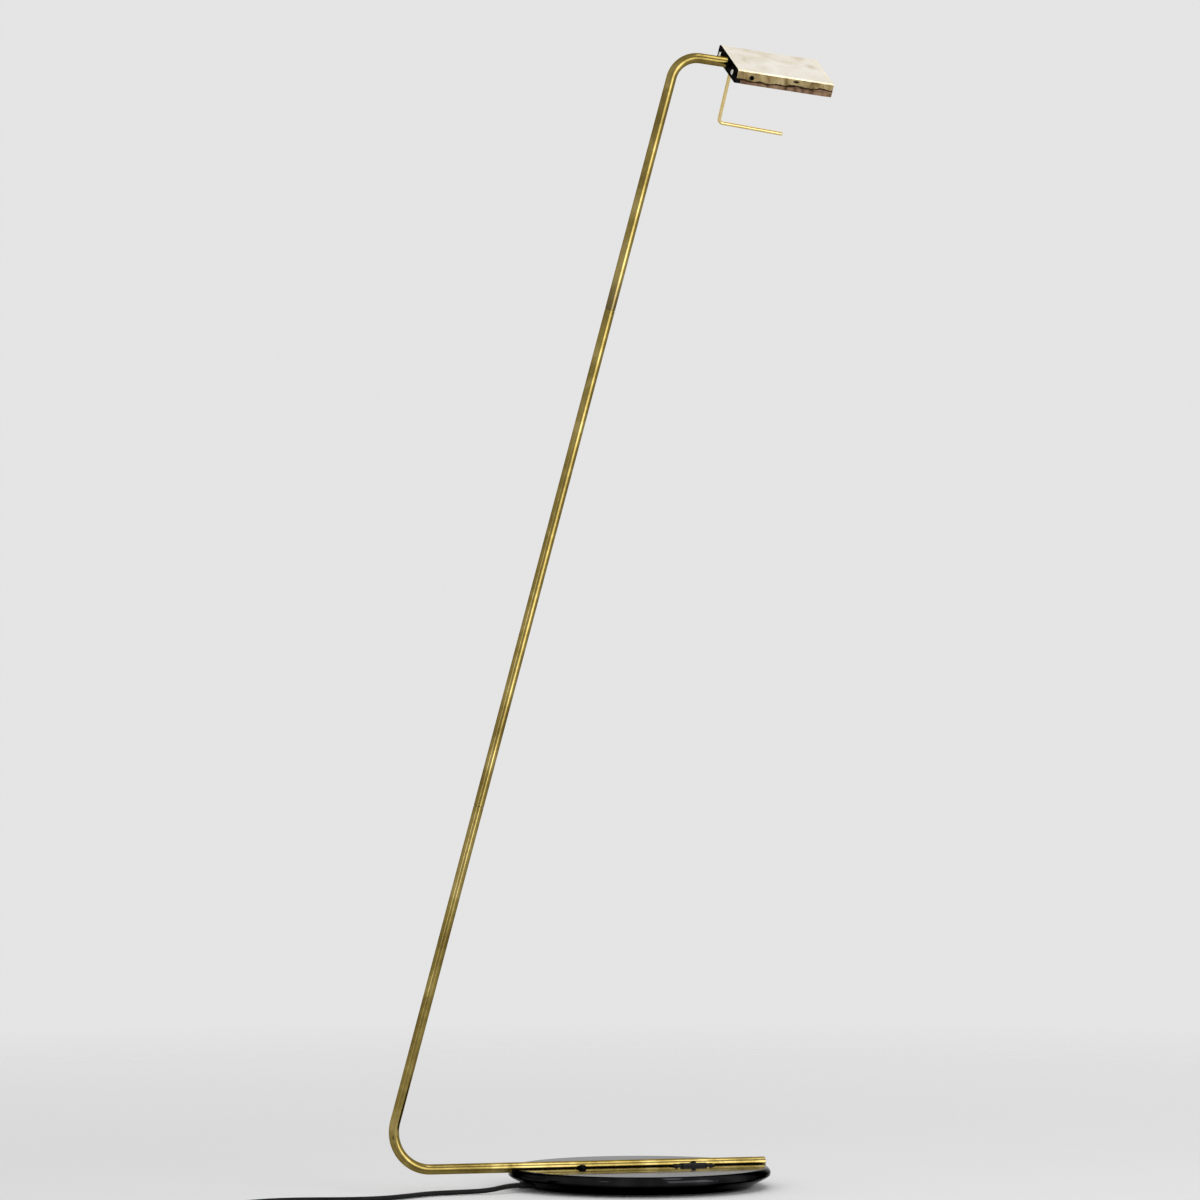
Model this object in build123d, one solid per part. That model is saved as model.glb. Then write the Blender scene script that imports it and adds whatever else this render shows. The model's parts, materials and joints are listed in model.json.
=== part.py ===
from build123d import *
import os
from math import atan2, cos, degrees, pi, radians, sin, sqrt, tan

# A leaning brass reading lamp. One bent tube lies in a groove of a black disc, turns up, leans back over
# the disc and ends in a short arm. A flat head rolls about that arm, and a thin wand under it is its handle.
# Millimetres. +Z is up, +X runs from the bend of the foot towards the head, the origin is on the floor
# under the middle of the disc, and the near side of the lamp is -Y.

# Clearances and cuts
OVERRUN = 2.0           # how far a cutting tool passes a face
FIT = 0.05              # radial clearance of pieces that slide into each other
SEAT_GAP = 0.1          # between pieces laid beside each other
RUN_GAP = 0.3           # between pieces that move past each other
SLOT_WIDTH_SHARE = 0.16         # screwdriver slot, of the head's diameter
SLOT_DEPTH_SHARE = 0.35         # screwdriver slot, of the head's height
HEAD_ROUND_SHARE = 0.6          # rounding of a screw head, of its height

# Base disc
BASE_R = 143.0
BASE_TOP = 22.0
PAD_T = 1.5
PAD_INSET = 1.5         # the pad stays inside the underside's edge
FOOT_INSET = 20.5       # edge of the underside, inside the rim
SKIRT_INSET = 14.0      # knee of the undercut, inside the rim
SKIRT_Z = 5.6
RIM_LOW_INSET = 2.0     # lower edge of the rim band, inside the rim
RIM_LOW_Z = 11.6
RIM_ROUND = 6.0         # rounding of the top edge
UNDER_ROUND = 1.5       # rounding of the rim's lower edge

# Wiring pocket in the underside and its cover
POCKET_MARGIN = 7.5     # from the cover's corners to the edge of the underside
POCKET_W = 76.0
POCKET_TOP = 14.5
POCKET_CORNER_R = 6.0
COVER_T = 1.5
COVER_LAP = 8.0         # how far the cover reaches past the pocket
COVER_SCREW_D = 3.0
COVER_SCREW_HEAD_D = 5.6
COVER_SCREW_L = 8.0

# Tube of foot, stem and arm
TUBE_OD = 11.1
TUBE_WALL = 1.5
TUBE_SINK = 3.6         # how deep the foot lies in the disc
FOOT_END_INSET = 0.5    # the foot's end, inside the rim
LOW_CORNER_X = -288.0   # where the lines of foot and stem cross
LOW_BEND_R = 41.0
STEM_LEAN = 15.3        # degrees from upright
STEM_LENGTH = 1255.0    # from the lower crossing to the upper one
TOP_BEND_R = 30.0
ARM_DIP = 7.2           # degrees below level
LOW_JOINT_SHARE = 0.3235        # of the stem's length, from the lower crossing
HIGH_JOINT_SHARE = 0.769
COUPLER_L = 40.0
COUPLER_BORE = 6.2
COUPLER_RING_D = 10.3
COUPLER_RING_T = 0.9
END_PLUG_T = 1.2
END_PLUG_L = 10.0
END_PLUG_CHAMFER = 0.4

# Screws that hold the foot tube from below
HOLD_BACK_GAP = 11.0    # from the terminal block
HOLD_FRONT_INSET = 8.0  # from the end of the pocket
HOLD_D = 5.0
HOLD_HEAD_D = 9.0
HOLD_HEAD_H = 3.2
HOLD_GRIP = 3.0         # how far a screw reaches past the middle of the tube
INSERT_L = 20.0

# Domed screws that flank the foot tube
FLANK_X = -67.0
FLANK_HEAD_D = 8.0
FLANK_HEAD_H = 3.9
FLANK_D = 4.0
FLANK_L = 5.5

# Lead from the base to the head
LEAD_D = 3.8
LEAD_RISE_L = 43.0      # from the terminal block to where the lead joins the foot tube's line
LEAD_TURN_R = 60.0
LEAD_START_Z = 9.5
LEAD_SLOT_W = 5.0
LEAD_PAST_NUT = 2.5

# Dimmer beside the foot tube
DIMMER_INSET = 39.2     # its middle, from the end of the pocket
DIMMER_L = 29.6
DIMMER_W = 7.0
DIMMER_H = 3.2
DIMMER_CORNER_R = 2.4
DIMMER_EDGE_R = 0.9
EAR_L = 9.4
EAR_W = 5.6
EAR_H = 1.6
EAR_SCREW_D = 2.0
EAR_SCREW_HEAD_D = 4.0
EAR_SCREW_HEAD_H = 1.0
EAR_SCREW_L = 6.0
SLIDER_TRAVEL = 6.5     # each way
SLIDER_D = 4.8
SLIDER_H = 2.0
SLIDER_ROUND = 0.9
BLADE_L = 2.6
BLADE_T = 1.4
BLADE_DEEP = 3.5        # how far the blade reaches into the mechanism
MECH_L = 36.0
MECH_W = 13.0
MECH_H = 7.0

# Driver and terminal block on the cover
DRIVER_X = -14.0
DRIVER_Y = 21.0
DRIVER_L = 84.0
DRIVER_W = 28.0
DRIVER_H = 10.0
DRIVER_EDGE_R = 1.2
TERMINAL_INSET = 33.0   # from the end of the pocket
TERMINAL_L = 24.0
TERMINAL_Y = -7.0
TERMINAL_W = 27.0
TERMINAL_H = 10.0
TERMINAL_SCREW_D = 3.4
TERMINAL_SCREW_DEEP = 2.2
TERMINAL_POLES = 3

# Mains cord
CORD_D = 5.5
GLAND_TURN = 12.0       # degrees from -X towards the near side
GLAND_OUT = 3.0         # how far its mouth stands out of the rim
GLAND_LONG = 24.0
GLAND_ROOT_D = 8.4
GLAND_TIP_D = 7.0
GLAND_BLOCK_L = 8.0     # collar that is trapped in the pocket
GLAND_BLOCK_W = 15.0
GLAND_BLOCK_H = 9.0
GLAND_EDGE_R = 0.5
TAIL_SPARE = 0.8        # cord and lead stop this far from the terminal block
FLOOR_GAP = 0.05
COIL_LIFT = 0.8         # the tie passes under the coil
CORD_OUT_RUN = 14.0     # straight out of the gland
CORD_IN_RUN = 34.0      # straight into the coil

# Route of the cord from the gland to the coil: x from the disc's rim, y, and height over the floor
CORD_ROUTE = [
    (-38.0, -45.0, 0.8),
    (-71.0, -45.5, 0.0),
    (-105.0, -52.0, 0.0),
    (-137.0, -76.0, 0.0),
    (-170.0, -97.0, 0.0),
    (-209.0, -99.0, 0.0),
    (-252.0, -88.0, 0.0),
    (-290.0, -89.0, 0.0),
    (-329.0, -111.0, 0.0),
    (-357.0, -148.0, 0.3),
]
CORD_TURN_SHARE = 0.45  # of the shorter run, as the tangent length of an arc

# Coil of the length that is put away, its tie and the plug
COIL_FROM_RIM = 325.0   # its middle, from the disc's rim
COIL_Y = -238.0
COIL_R = 44.0
COIL_PITCH = 6.0
COIL_LAYER = 6.0
COIL_TURNS_IN = 3.75    # inwards on the first layer
COIL_TURNS_OUT = 3.5    # outwards on the second
COIL_CLIMB_TURNS = 0.5  # about the point where it reverses
COIL_OUT_RUN = 22.0     # straight to the plug
COIL_STEPS = 4          # biarcs a turn
TANGENT_STEP = 0.02     # turns, for the slope of the winding
GAP_STEPS = 48          # points a turn, for the least gap
TIE_W = 8.0
TIE_T = 0.5
TIE_GAP = 0.3
TIE_ROUND = 1.5
PLUG_L = 34.0
PLUG_W = 26.0
PLUG_H = 17.0
PLUG_EDGE_R = 4.0
PLUG_RELIEF_L = 22.0
PLUG_RELIEF_D = 7.4
PLUG_RELIEF_ROOT_D = 12.5
PIN_D = 4.0
PIN_L = 19.0
PIN_SPACING = 19.0
PIN_SEAT = 8.0
PIN_ROUND = 1.2

# Head: a flat slab that rolls about the arm
HEAD_REACH = 58.7       # from the upper crossing to the cover's near end
HEAD_ROLL = 22.7        # degrees at rest, near edge down
HEAD_L = 108.2
HEAD_W = 88.0
HEAD_T = 15.6
AXIS_DROP = 6.5         # the arm's line below the top face
SHEET = 1.0
WALL_H = 10.8           # side wall of the cover
FOLD_R = 1.6            # outside of the cover's folds
LIP_GAP = 0.6           # shadow gap under the side wall
CAP_RIM = 1.8
CAP_BLOCK = 5.0
CAP_EDGE_R = 0.7

# Pivot between arm and head
SPINDLE_D = 7.0
SPINDLE_BORE = 4.4
SPINDLE_SHANK_L = 18.0
WASHER_D = 11.1
WASHER_T = 0.8
WASHER_RUN = 0.2        # axial play of the cap between its washers
SPRING_D = 9.2
SPRING_T = 1.2
NUT_D = 9.2
NUT_T = 4.0
NUT_SLOT_W = 1.4
NUT_SLOT_DEEP = 0.9
STOP_HALF = 90.0        # degrees that the head may roll from level, each way
STOP_SPARE = 5.0        # degrees kept free at each stop
STOP_PIN_D = 0.9
STOP_PIN_SEAT = 4.0     # how deep the pin sits in the arm's end
STOP_PIN_IN = 1.0       # how far it reaches into the cap

# Screws of the head
END_SCREW_INSET = 13.0  # from the side of the slab
END_SCREW_Z = -0.9
END_SCREW_D = 3.0
END_SCREW_HEAD_D = 6.0
END_SCREW_HEAD_H = 2.0
END_SCREW_L = 15.0
SIDE_SCREW_X = 17.0
SIDE_SCREW_Z = -0.7
SIDE_SCREW_D = 2.5
SIDE_SCREW_HEAD_D = 5.0
SIDE_SCREW_HEAD_H = 1.1
SIDE_SCREW_L = 8.0
FRAME_SCREW_D = 2.0
FRAME_SCREW_HEAD_D = 3.6
FRAME_SCREW_HEAD_H = 0.9
FRAME_SCREW_L = 8.1
FRAME_SCREW_IN_X = 8.0
FRAME_SCREW_IN_Y = 3.4

# Light unit in the head
SPREADER_T = 1.5
SPREADER_FROM = 16.0    # the plate starts behind the nut
RAIL_W = 16.0
BOARD_T = 1.2
BOARD_MARGIN = 2.0
CHIP_L = 3.5
CHIP_W = 2.8
CHIP_T = 0.8
CHIP_ROWS = 4
CHIP_COLS = 7
FRAME_INSET = 0.8       # the lower lip stands back from the side wall
FRAME_WALL = 1.4
FRAME_LEDGE = 5.4
FRAME_LEDGE_T = 0.8
DIFFUSER_T = 1.6

# Wand
WAND_D = 4.0
WAND_X = 2.0
WAND_Y = -8.0
WAND_DROP = 66.5        # from the arm's line to the middle of the long leg
WAND_LEG = 74.5
WAND_DIP = 1.6          # degrees that the long leg falls away from the arm's line
WAND_BEND_R = 5.0
WAND_STUB_D = 3.0
WAND_STUB_L = 7.5
WAND_TIP_ROUND = 1.7

# Places that follow from the sizes above
FOOT_R = BASE_R - FOOT_INSET
SKIRT_R = BASE_R - SKIRT_INSET
RIM_LOW_R = BASE_R - RIM_LOW_INSET
COVER_CORNER_Y = POCKET_W / 2 + COVER_LAP
POCKET_END = sqrt(FOOT_R ** 2 - COVER_CORNER_Y ** 2) - COVER_LAP - POCKET_MARGIN
TERMINAL_X0 = TERMINAL_INSET - POCKET_END
LEAD_TURN_X = TERMINAL_X0 - LEAD_RISE_L
HOLD_X = (TERMINAL_X0 + TERMINAL_L + HOLD_BACK_GAP, POCKET_END - HOLD_FRONT_INSET)
DIMMER_X = POCKET_END - DIMMER_INSET
FOOT_END_X = BASE_R - FOOT_END_INSET
LOW_JOINT_AT = STEM_LENGTH * LOW_JOINT_SHARE
HIGH_JOINT_AT = STEM_LENGTH * HIGH_JOINT_SHARE
GLAND_MOUTH_R = BASE_R + GLAND_OUT
COIL_X = -BASE_R - COIL_FROM_RIM
TUBE_R = TUBE_OD / 2
TUBE_BORE = TUBE_OD - 2 * TUBE_WALL
FOOT_Z = BASE_TOP + TUBE_R - TUBE_SINK
STEM_DIR = Vector(sin(radians(STEM_LEAN)), 0, cos(radians(STEM_LEAN)))
ARM_DIR = Vector(cos(radians(ARM_DIP)), 0, -sin(radians(ARM_DIP)))
LOW_CORNER = Vector(LOW_CORNER_X, 0, FOOT_Z)
TOP_CORNER = LOW_CORNER + STEM_DIR * STEM_LENGTH
LEVEL_TOP = Vector(sin(radians(ARM_DIP)), 0, cos(radians(ARM_DIP)))
NEAR = Vector(0, -1, 0)
AXIS_DIR = Vector(1, 0, 0)      # along the arm, in the frames of arm and head
UP = Vector(0, 0, 1)
DOWN = Vector(0, 0, -1)
SLAB_TOP = NEAR * sin(radians(HEAD_ROLL)) + LEVEL_TOP * cos(radians(HEAD_ROLL))
HEAD = Plane(origin=TOP_CORNER + ARM_DIR * HEAD_REACH, x_dir=ARM_DIR, z_dir=SLAB_TOP)
ARM = Plane(origin=HEAD.origin, x_dir=ARM_DIR, z_dir=LEVEL_TOP)
ARM_END = -(CAP_RIM + WASHER_RUN + WASHER_T)
COVER_TOP = PAD_T + COVER_T
DIMMER_Y = -(TUBE_R + RUN_GAP + DIMMER_W / 2)
FLANK_Y = TUBE_R + SEAT_GAP + FLANK_HEAD_D / 2
GLAND_DIR = Vector(-cos(radians(GLAND_TURN)), -sin(radians(GLAND_TURN)), 0)
GLAND_Z = COVER_TOP + GLAND_ROOT_D / 2 + SEAT_GAP
LEAD_START = Vector(TERMINAL_X0 - TAIL_SPARE, 0, LEAD_START_Z)
LEAD_SLOPE = atan2(FOOT_Z - LEAD_START_Z, LEAD_START.X - LEAD_TURN_X)
STOP_PIN_R = TUBE_R - TUBE_WALL / 2
CORD_R = CORD_D / 2
CORD_FLOOR = CORD_R + FLOOR_GAP
SLAB_UP = AXIS_DROP
SLAB_DOWN = AXIS_DROP - HEAD_T
WALL_DOWN = AXIS_DROP - WALL_H
CAVITY_TOP = AXIS_DROP - SHEET
CAVITY_HALF = HEAD_W / 2 - SHEET
END_SCREW_Y = HEAD_W / 2 - END_SCREW_INSET
NUT_FROM = CAP_BLOCK + WASHER_RUN + WASHER_T + SPRING_T
SPINDLE_END = NUT_FROM + NUT_T
LOW = (Align.CENTER, Align.CENTER, Align.MIN)
HIGH = (Align.CENTER, Align.CENTER, Align.MAX)


def block(x0, x1, y0, y1, z0, z1):
    """A box between two corners."""
    middle = Pos((x0 + x1) / 2, (y0 + y1) / 2, (z0 + z1) / 2)
    return middle * Box(x1 - x0, y1 - y0, z1 - z0)


def rod(start, direction, length, diameter):
    """A round bar from a point along a direction."""
    return extrude(Plane(origin=start, z_dir=direction) * Circle(diameter / 2), amount=length)


def ring(start, direction, length, outer, inner):
    """A round bar with a bore."""
    bore_start = start - direction.normalized() * OVERRUN
    return rod(start, direction, length, outer) - rod(bore_start, direction, length + 2 * OVERRUN, inner)


def screw(seat, outward, head_d, head_h, shank_d, shank_l):
    """A slotted screw with a rounded head, its head's underside on the seat."""
    head = Cylinder(head_d / 2, head_h, align=LOW)
    head = fillet(head.edges().group_by(Axis.Z)[-1], head_h * HEAD_ROUND_SHARE)
    slot = Pos(0, 0, head_h) * Box(head_d, head_d * SLOT_WIDTH_SHARE, 2 * head_h * SLOT_DEPTH_SHARE)
    shank = Cylinder(shank_d / 2, shank_l, align=HIGH)
    return Plane(origin=seat, z_dir=outward).location * (head - slot + shank)


def countersunk(seat, outward, head_d, shank_d, length):
    """A flat-headed screw, its head flush with the seat."""
    cone_h = (head_d - shank_d) / 2
    cone = Cone(shank_d / 2, head_d / 2, cone_h, align=HIGH)
    shank = Cylinder(shank_d / 2, length, align=HIGH)
    return Plane(origin=seat, z_dir=outward).location * (cone + shank)


def pipe(path, outer, inner):
    """A tube along a path."""
    start = Plane(origin=path @ 0, z_dir=path % 0)
    return sweep(start * Circle(outer / 2), path=path) - sweep(start * Circle(inner / 2), path=path)


def cord_along(path):
    """The mains cord along a path."""
    return sweep(Plane(origin=path @ 0, z_dir=path % 0) * Circle(CORD_R), path=path)


def in_head(shape):
    """Places a piece drawn in the slab's own frame."""
    return HEAD.location * shape


def in_arm(shape):
    """Places a piece drawn in the arm's own frame."""
    return ARM.location * shape


# Base disc and what closes it

def pocket_outline(grow):
    """The pocket's outline, grown by a lap."""
    return RectangleRounded(2 * (POCKET_END + grow), POCKET_W + 2 * grow, POCKET_CORNER_R)


def cover_screw_places():
    """Four places on the long sides of the cover's lap, near its corners."""
    x = POCKET_END - POCKET_CORNER_R
    y = POCKET_W / 2 + COVER_LAP / 2
    return [Vector(x * side, y * way, PAD_T) for side in (-1, 1) for way in (-1, 1)]


def lead_slot(z0, z1):
    """The long slot that lets the lead climb from the pocket into the tube."""
    meets = LEAD_START.X - (POCKET_TOP - LEAD_START_Z) / tan(LEAD_SLOPE)
    x1 = meets + (LEAD_D / 2 + SEAT_GAP) / sin(LEAD_SLOPE)
    x0 = LEAD_TURN_X - LEAD_TURN_R * tan(LEAD_SLOPE / 2)
    return block(x0, x1, -LEAD_SLOT_W / 2, LEAD_SLOT_W / 2, z0, z1)


def ear_screw_places():
    """The two screws in the dimmer's ears."""
    reach = DIMMER_L / 2 + EAR_L / 2
    return [Vector(DIMMER_X + side * reach, DIMMER_Y, BASE_TOP + EAR_H) for side in (-1, 1)]


def flank_screw_places():
    """The two domed screws, one each side of the tube."""
    return [Vector(FLANK_X, side * FLANK_Y, BASE_TOP) for side in (-1, 1)]


def disc_blank():
    """The disc with its rounded rim and undercut."""
    points = [(0, PAD_T), (FOOT_R, PAD_T), (SKIRT_R, SKIRT_Z), (RIM_LOW_R, RIM_LOW_Z)]
    points += [(BASE_R, RIM_LOW_Z + BASE_R - RIM_LOW_R), (BASE_R, BASE_TOP), (0, BASE_TOP)]
    outline = make_face(Polyline(*points, close=True))
    corners = outline.vertices()
    top_edge = corners.sort_by_distance((BASE_R, BASE_TOP))[0]
    outline = fillet(top_edge, RIM_ROUND)
    low_edge = outline.vertices().sort_by_distance((RIM_LOW_R, RIM_LOW_Z))[0]
    outline = fillet(low_edge, UNDER_ROUND)
    return revolve(Plane.XZ * outline, axis=Axis.Z)


def gland_channel():
    """The open channel that takes the cord out of the pocket."""
    width = GLAND_ROOT_D + 2 * SEAT_GAP
    top = GLAND_Z + GLAND_ROOT_D / 2 + SEAT_GAP
    drawn = block(POCKET_END - OVERRUN, BASE_R + OVERRUN, -width / 2, width / 2, PAD_T - OVERRUN, top)
    return Plane(origin=(0, 0, 0), x_dir=GLAND_DIR, z_dir=UP).location * drawn


def base_plate():
    """The heavy disc with its groove, pocket, slots and screw holes."""
    disc = disc_blank()
    groove_from = Vector(-BASE_R - OVERRUN, 0, FOOT_Z)
    disc -= rod(groove_from, AXIS_DIR, 2 * (BASE_R + OVERRUN), TUBE_OD + 2 * SEAT_GAP)
    disc -= extrude(pocket_outline(0), amount=POCKET_TOP)
    disc -= extrude(pocket_outline(COVER_LAP + SEAT_GAP), amount=COVER_TOP)
    disc -= gland_channel()
    disc -= lead_slot(COVER_TOP, FOOT_Z)
    disc -= slider_slot(COVER_TOP, BASE_TOP + OVERRUN)
    for x in HOLD_X:
        disc -= rod(Vector(x, 0, COVER_TOP), UP, BASE_TOP, HOLD_D + 2 * SEAT_GAP)
    for place in cover_screw_places():
        disc -= rod(place, UP, COVER_SCREW_L + OVERRUN, COVER_SCREW_D + 2 * FIT)
    for place in ear_screw_places():
        disc -= rod(place, DOWN, EAR_SCREW_L + FIT, EAR_SCREW_D + 2 * FIT)
    for place in flank_screw_places():
        disc -= rod(place, DOWN, FLANK_L + FIT, FLANK_D + 2 * FIT)
    return disc


def foot_pad():
    """The full pad that the disc stands on."""
    return Cylinder(FOOT_R - PAD_INSET, PAD_T, align=LOW)


def base_cover():
    """The plate that closes the wiring pocket."""
    plate = Pos(0, 0, PAD_T) * extrude(pocket_outline(COVER_LAP), amount=COVER_T)
    for place in cover_screw_places():
        hole = Plane(origin=place, z_dir=(0, 0, -1)).location
        cone_h = (COVER_SCREW_HEAD_D - COVER_SCREW_D) / 2
        sink = Cone(COVER_SCREW_D / 2 + FIT, COVER_SCREW_HEAD_D / 2 + FIT, cone_h, align=HIGH)
        plate -= hole * sink
        plate -= rod(place, UP, COVER_T + OVERRUN, COVER_SCREW_D + 2 * FIT)
    return plate


def cover_screws():
    """The four screws of the cover."""
    places = cover_screw_places()
    return [countersunk(p, DOWN, COVER_SCREW_HEAD_D, COVER_SCREW_D, COVER_SCREW_L) for p in places]


# Tube of foot, stem and arm

def stem_point(along):
    """A point on the stem's line."""
    return LOW_CORNER + STEM_DIR * along


def lower_tube():
    """The foot and the first stretch of the stem, bent from one length."""
    start = Vector(FOOT_END_X - END_PLUG_T, 0, FOOT_Z)
    end = stem_point(LOW_JOINT_AT - COUPLER_RING_T / 2)
    tube = pipe(FilletPolyline(start, LOW_CORNER, end, radius=LOW_BEND_R), TUBE_OD, TUBE_BORE)
    for x in HOLD_X:
        tube -= rod(Vector(x, 0, FOOT_Z), DOWN, TUBE_OD, HOLD_D + 2 * SEAT_GAP)
    return tube - lead_slot(FOOT_Z - TUBE_OD, FOOT_Z)


def middle_tube():
    """The straight stretch of the stem between its two joints."""
    start = stem_point(LOW_JOINT_AT + COUPLER_RING_T / 2)
    length = HIGH_JOINT_AT - LOW_JOINT_AT - COUPLER_RING_T
    return ring(start, STEM_DIR, length, TUBE_OD, TUBE_BORE)


def upper_tube():
    """The last stretch of the stem and the arm, bent from one length."""
    start = stem_point(HIGH_JOINT_AT + COUPLER_RING_T / 2)
    end = HEAD.origin + ARM_DIR * ARM_END
    tube = pipe(FilletPolyline(start, TOP_CORNER, end, radius=TOP_BEND_R), TUBE_OD, TUBE_BORE)
    pin_hole = stop_pin_bar(ARM_END - STOP_PIN_SEAT - FIT, ARM_END + OVERRUN, STOP_PIN_D + 2 * FIT)
    return tube - in_arm(pin_hole)


def coupler(along):
    """A screwed nipple inside a joint, with a ring that shows between the tubes."""
    low = stem_point(along - COUPLER_L / 2)
    body = ring(low, STEM_DIR, COUPLER_L, TUBE_BORE - 2 * FIT, COUPLER_BORE)
    shown = stem_point(along - COUPLER_RING_T / 2)
    return body + ring(shown, STEM_DIR, COUPLER_RING_T, COUPLER_RING_D, COUPLER_BORE)


def tube_couplers():
    """The nipples of both joints."""
    return [coupler(LOW_JOINT_AT), coupler(HIGH_JOINT_AT)]


def tube_end_plug():
    """The plug in the square-cut end of the foot."""
    face = Vector(FOOT_END_X, 0, FOOT_Z)
    back = Vector(-1, 0, 0)
    lid = rod(face, back, END_PLUG_T, TUBE_OD)
    lid = chamfer(lid.edges().group_by(Axis.X)[-1], END_PLUG_CHAMFER)
    return lid + rod(face, back, END_PLUG_T + END_PLUG_L, TUBE_BORE - 2 * FIT)


def tube_inserts():
    """Tapped bars inside the foot that its screws pull on."""
    bars = []
    for x in HOLD_X:
        bar = rod(Vector(x - INSERT_L / 2, 0, FOOT_Z), AXIS_DIR, INSERT_L, TUBE_BORE - 2 * FIT)
        tap = rod(Vector(x, 0, FOOT_Z - TUBE_OD), UP, TUBE_OD + HOLD_GRIP + FIT, HOLD_D + 2 * FIT)
        bars.append(bar - tap)
    return bars


def tube_screws():
    """The screws that pull the foot into its groove."""
    shank = FOOT_Z + HOLD_GRIP - POCKET_TOP
    seats = [Vector(x, 0, POCKET_TOP) for x in HOLD_X]
    return [screw(s, DOWN, HOLD_HEAD_D, HOLD_HEAD_H, HOLD_D, shank) for s in seats]


def flank_screws():
    """The domed screws that flank the foot tube."""
    places = flank_screw_places()
    return [screw(p, UP, FLANK_HEAD_D, FLANK_HEAD_H, FLANK_D, FLANK_L) for p in places]


def head_lead():
    """The lead from the terminal block through the tube to the head."""
    turn = Vector(LEAD_TURN_X, 0, FOOT_Z)
    end = HEAD.origin + ARM_DIR * (SPINDLE_END + LEAD_PAST_NUT)
    radii = [LEAD_TURN_R, LOW_BEND_R, TOP_BEND_R]
    path = FilletPolyline(LEAD_START, turn, LOW_CORNER, TOP_CORNER, end, radius=radii)
    return sweep(Plane(origin=path @ 0, z_dir=path % 0) * Circle(LEAD_D / 2), path=path)


# Dimmer, driver and terminal block

def slider_slot(z0, z1):
    """The slot that the slider's blade runs in."""
    half = SLIDER_TRAVEL + BLADE_L / 2 + RUN_GAP
    gap = BLADE_T / 2 + RUN_GAP
    return block(DIMMER_X - half, DIMMER_X + half, DIMMER_Y - gap, DIMMER_Y + gap, z0, z1)


def dimmer_body():
    """The low body beside the tube, with an ear at each end."""
    place = Pos(DIMMER_X, DIMMER_Y, BASE_TOP)
    shell = extrude(RectangleRounded(DIMMER_L, DIMMER_W, DIMMER_CORNER_R), amount=DIMMER_H)
    shell = fillet(shell.edges().group_by(Axis.Z)[-1], DIMMER_EDGE_R)
    ears = extrude(SlotOverall(DIMMER_L + 2 * EAR_L, EAR_W), amount=EAR_H)
    body = place * (shell + ears)
    for spot in ear_screw_places():
        body -= rod(spot, DOWN, EAR_H + OVERRUN, EAR_SCREW_D + 2 * FIT)
    return body - slider_slot(BASE_TOP - OVERRUN, BASE_TOP + DIMMER_H + OVERRUN)


def dimmer_screws():
    """The two small screws in the ears."""
    places = ear_screw_places()
    return [screw(p, UP, EAR_SCREW_HEAD_D, EAR_SCREW_HEAD_H, EAR_SCREW_D, EAR_SCREW_L) for p in places]


def dimmer_mechanism():
    """The sliding resistor under the disc's top."""
    half_l = MECH_L / 2
    half_w = MECH_W / 2
    body = block(DIMMER_X - half_l, DIMMER_X + half_l, DIMMER_Y - half_w, DIMMER_Y + half_w,
                 POCKET_TOP - MECH_H, POCKET_TOP)
    return body - slider_slot(POCKET_TOP - BLADE_DEEP - RUN_GAP, POCKET_TOP + OVERRUN)


def dimmer_slider():
    """The knob that slides, with its blade."""
    seat = BASE_TOP + DIMMER_H + RUN_GAP
    knob = Cylinder(SLIDER_D / 2, SLIDER_H, align=LOW)
    knob = fillet(knob.edges().group_by(Axis.Z)[-1], SLIDER_ROUND)
    blade_h = seat + SLIDER_H / 2 - (POCKET_TOP - BLADE_DEEP)
    blade = Pos(0, 0, SLIDER_H / 2) * Box(BLADE_L, BLADE_T, blade_h, align=HIGH)
    return Pos(DIMMER_X, DIMMER_Y, seat) * (knob + blade)


def light_driver():
    """The flat driver that lies on the cover."""
    half_l = DRIVER_L / 2
    half_w = DRIVER_W / 2
    body = block(DRIVER_X - half_l, DRIVER_X + half_l, DRIVER_Y - half_w, DRIVER_Y + half_w,
                 COVER_TOP, COVER_TOP + DRIVER_H)
    return fillet(body.edges().filter_by(Axis.Z), DRIVER_EDGE_R)


def terminal_block():
    """The block that joins cord, driver and lead."""
    half = TERMINAL_W / 2
    top = COVER_TOP + TERMINAL_H
    body = block(TERMINAL_X0, TERMINAL_X0 + TERMINAL_L, TERMINAL_Y - half, TERMINAL_Y + half, COVER_TOP, top)
    step = TERMINAL_W / TERMINAL_POLES
    for pole in range(TERMINAL_POLES):
        y = TERMINAL_Y - half + step * (pole + 1 / 2)
        well = Vector(TERMINAL_X0 + TERMINAL_L / 2, y, top - TERMINAL_SCREW_DEEP)
        body -= rod(well, UP, TERMINAL_SCREW_DEEP + OVERRUN, TERMINAL_SCREW_D)
    return body


# Mains cord, its strain relief, coil, tie and plug

def gland_point(along):
    """A point on the gland's line, from the middle of the disc."""
    return GLAND_DIR * along + Vector(0, 0, GLAND_Z)


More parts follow.
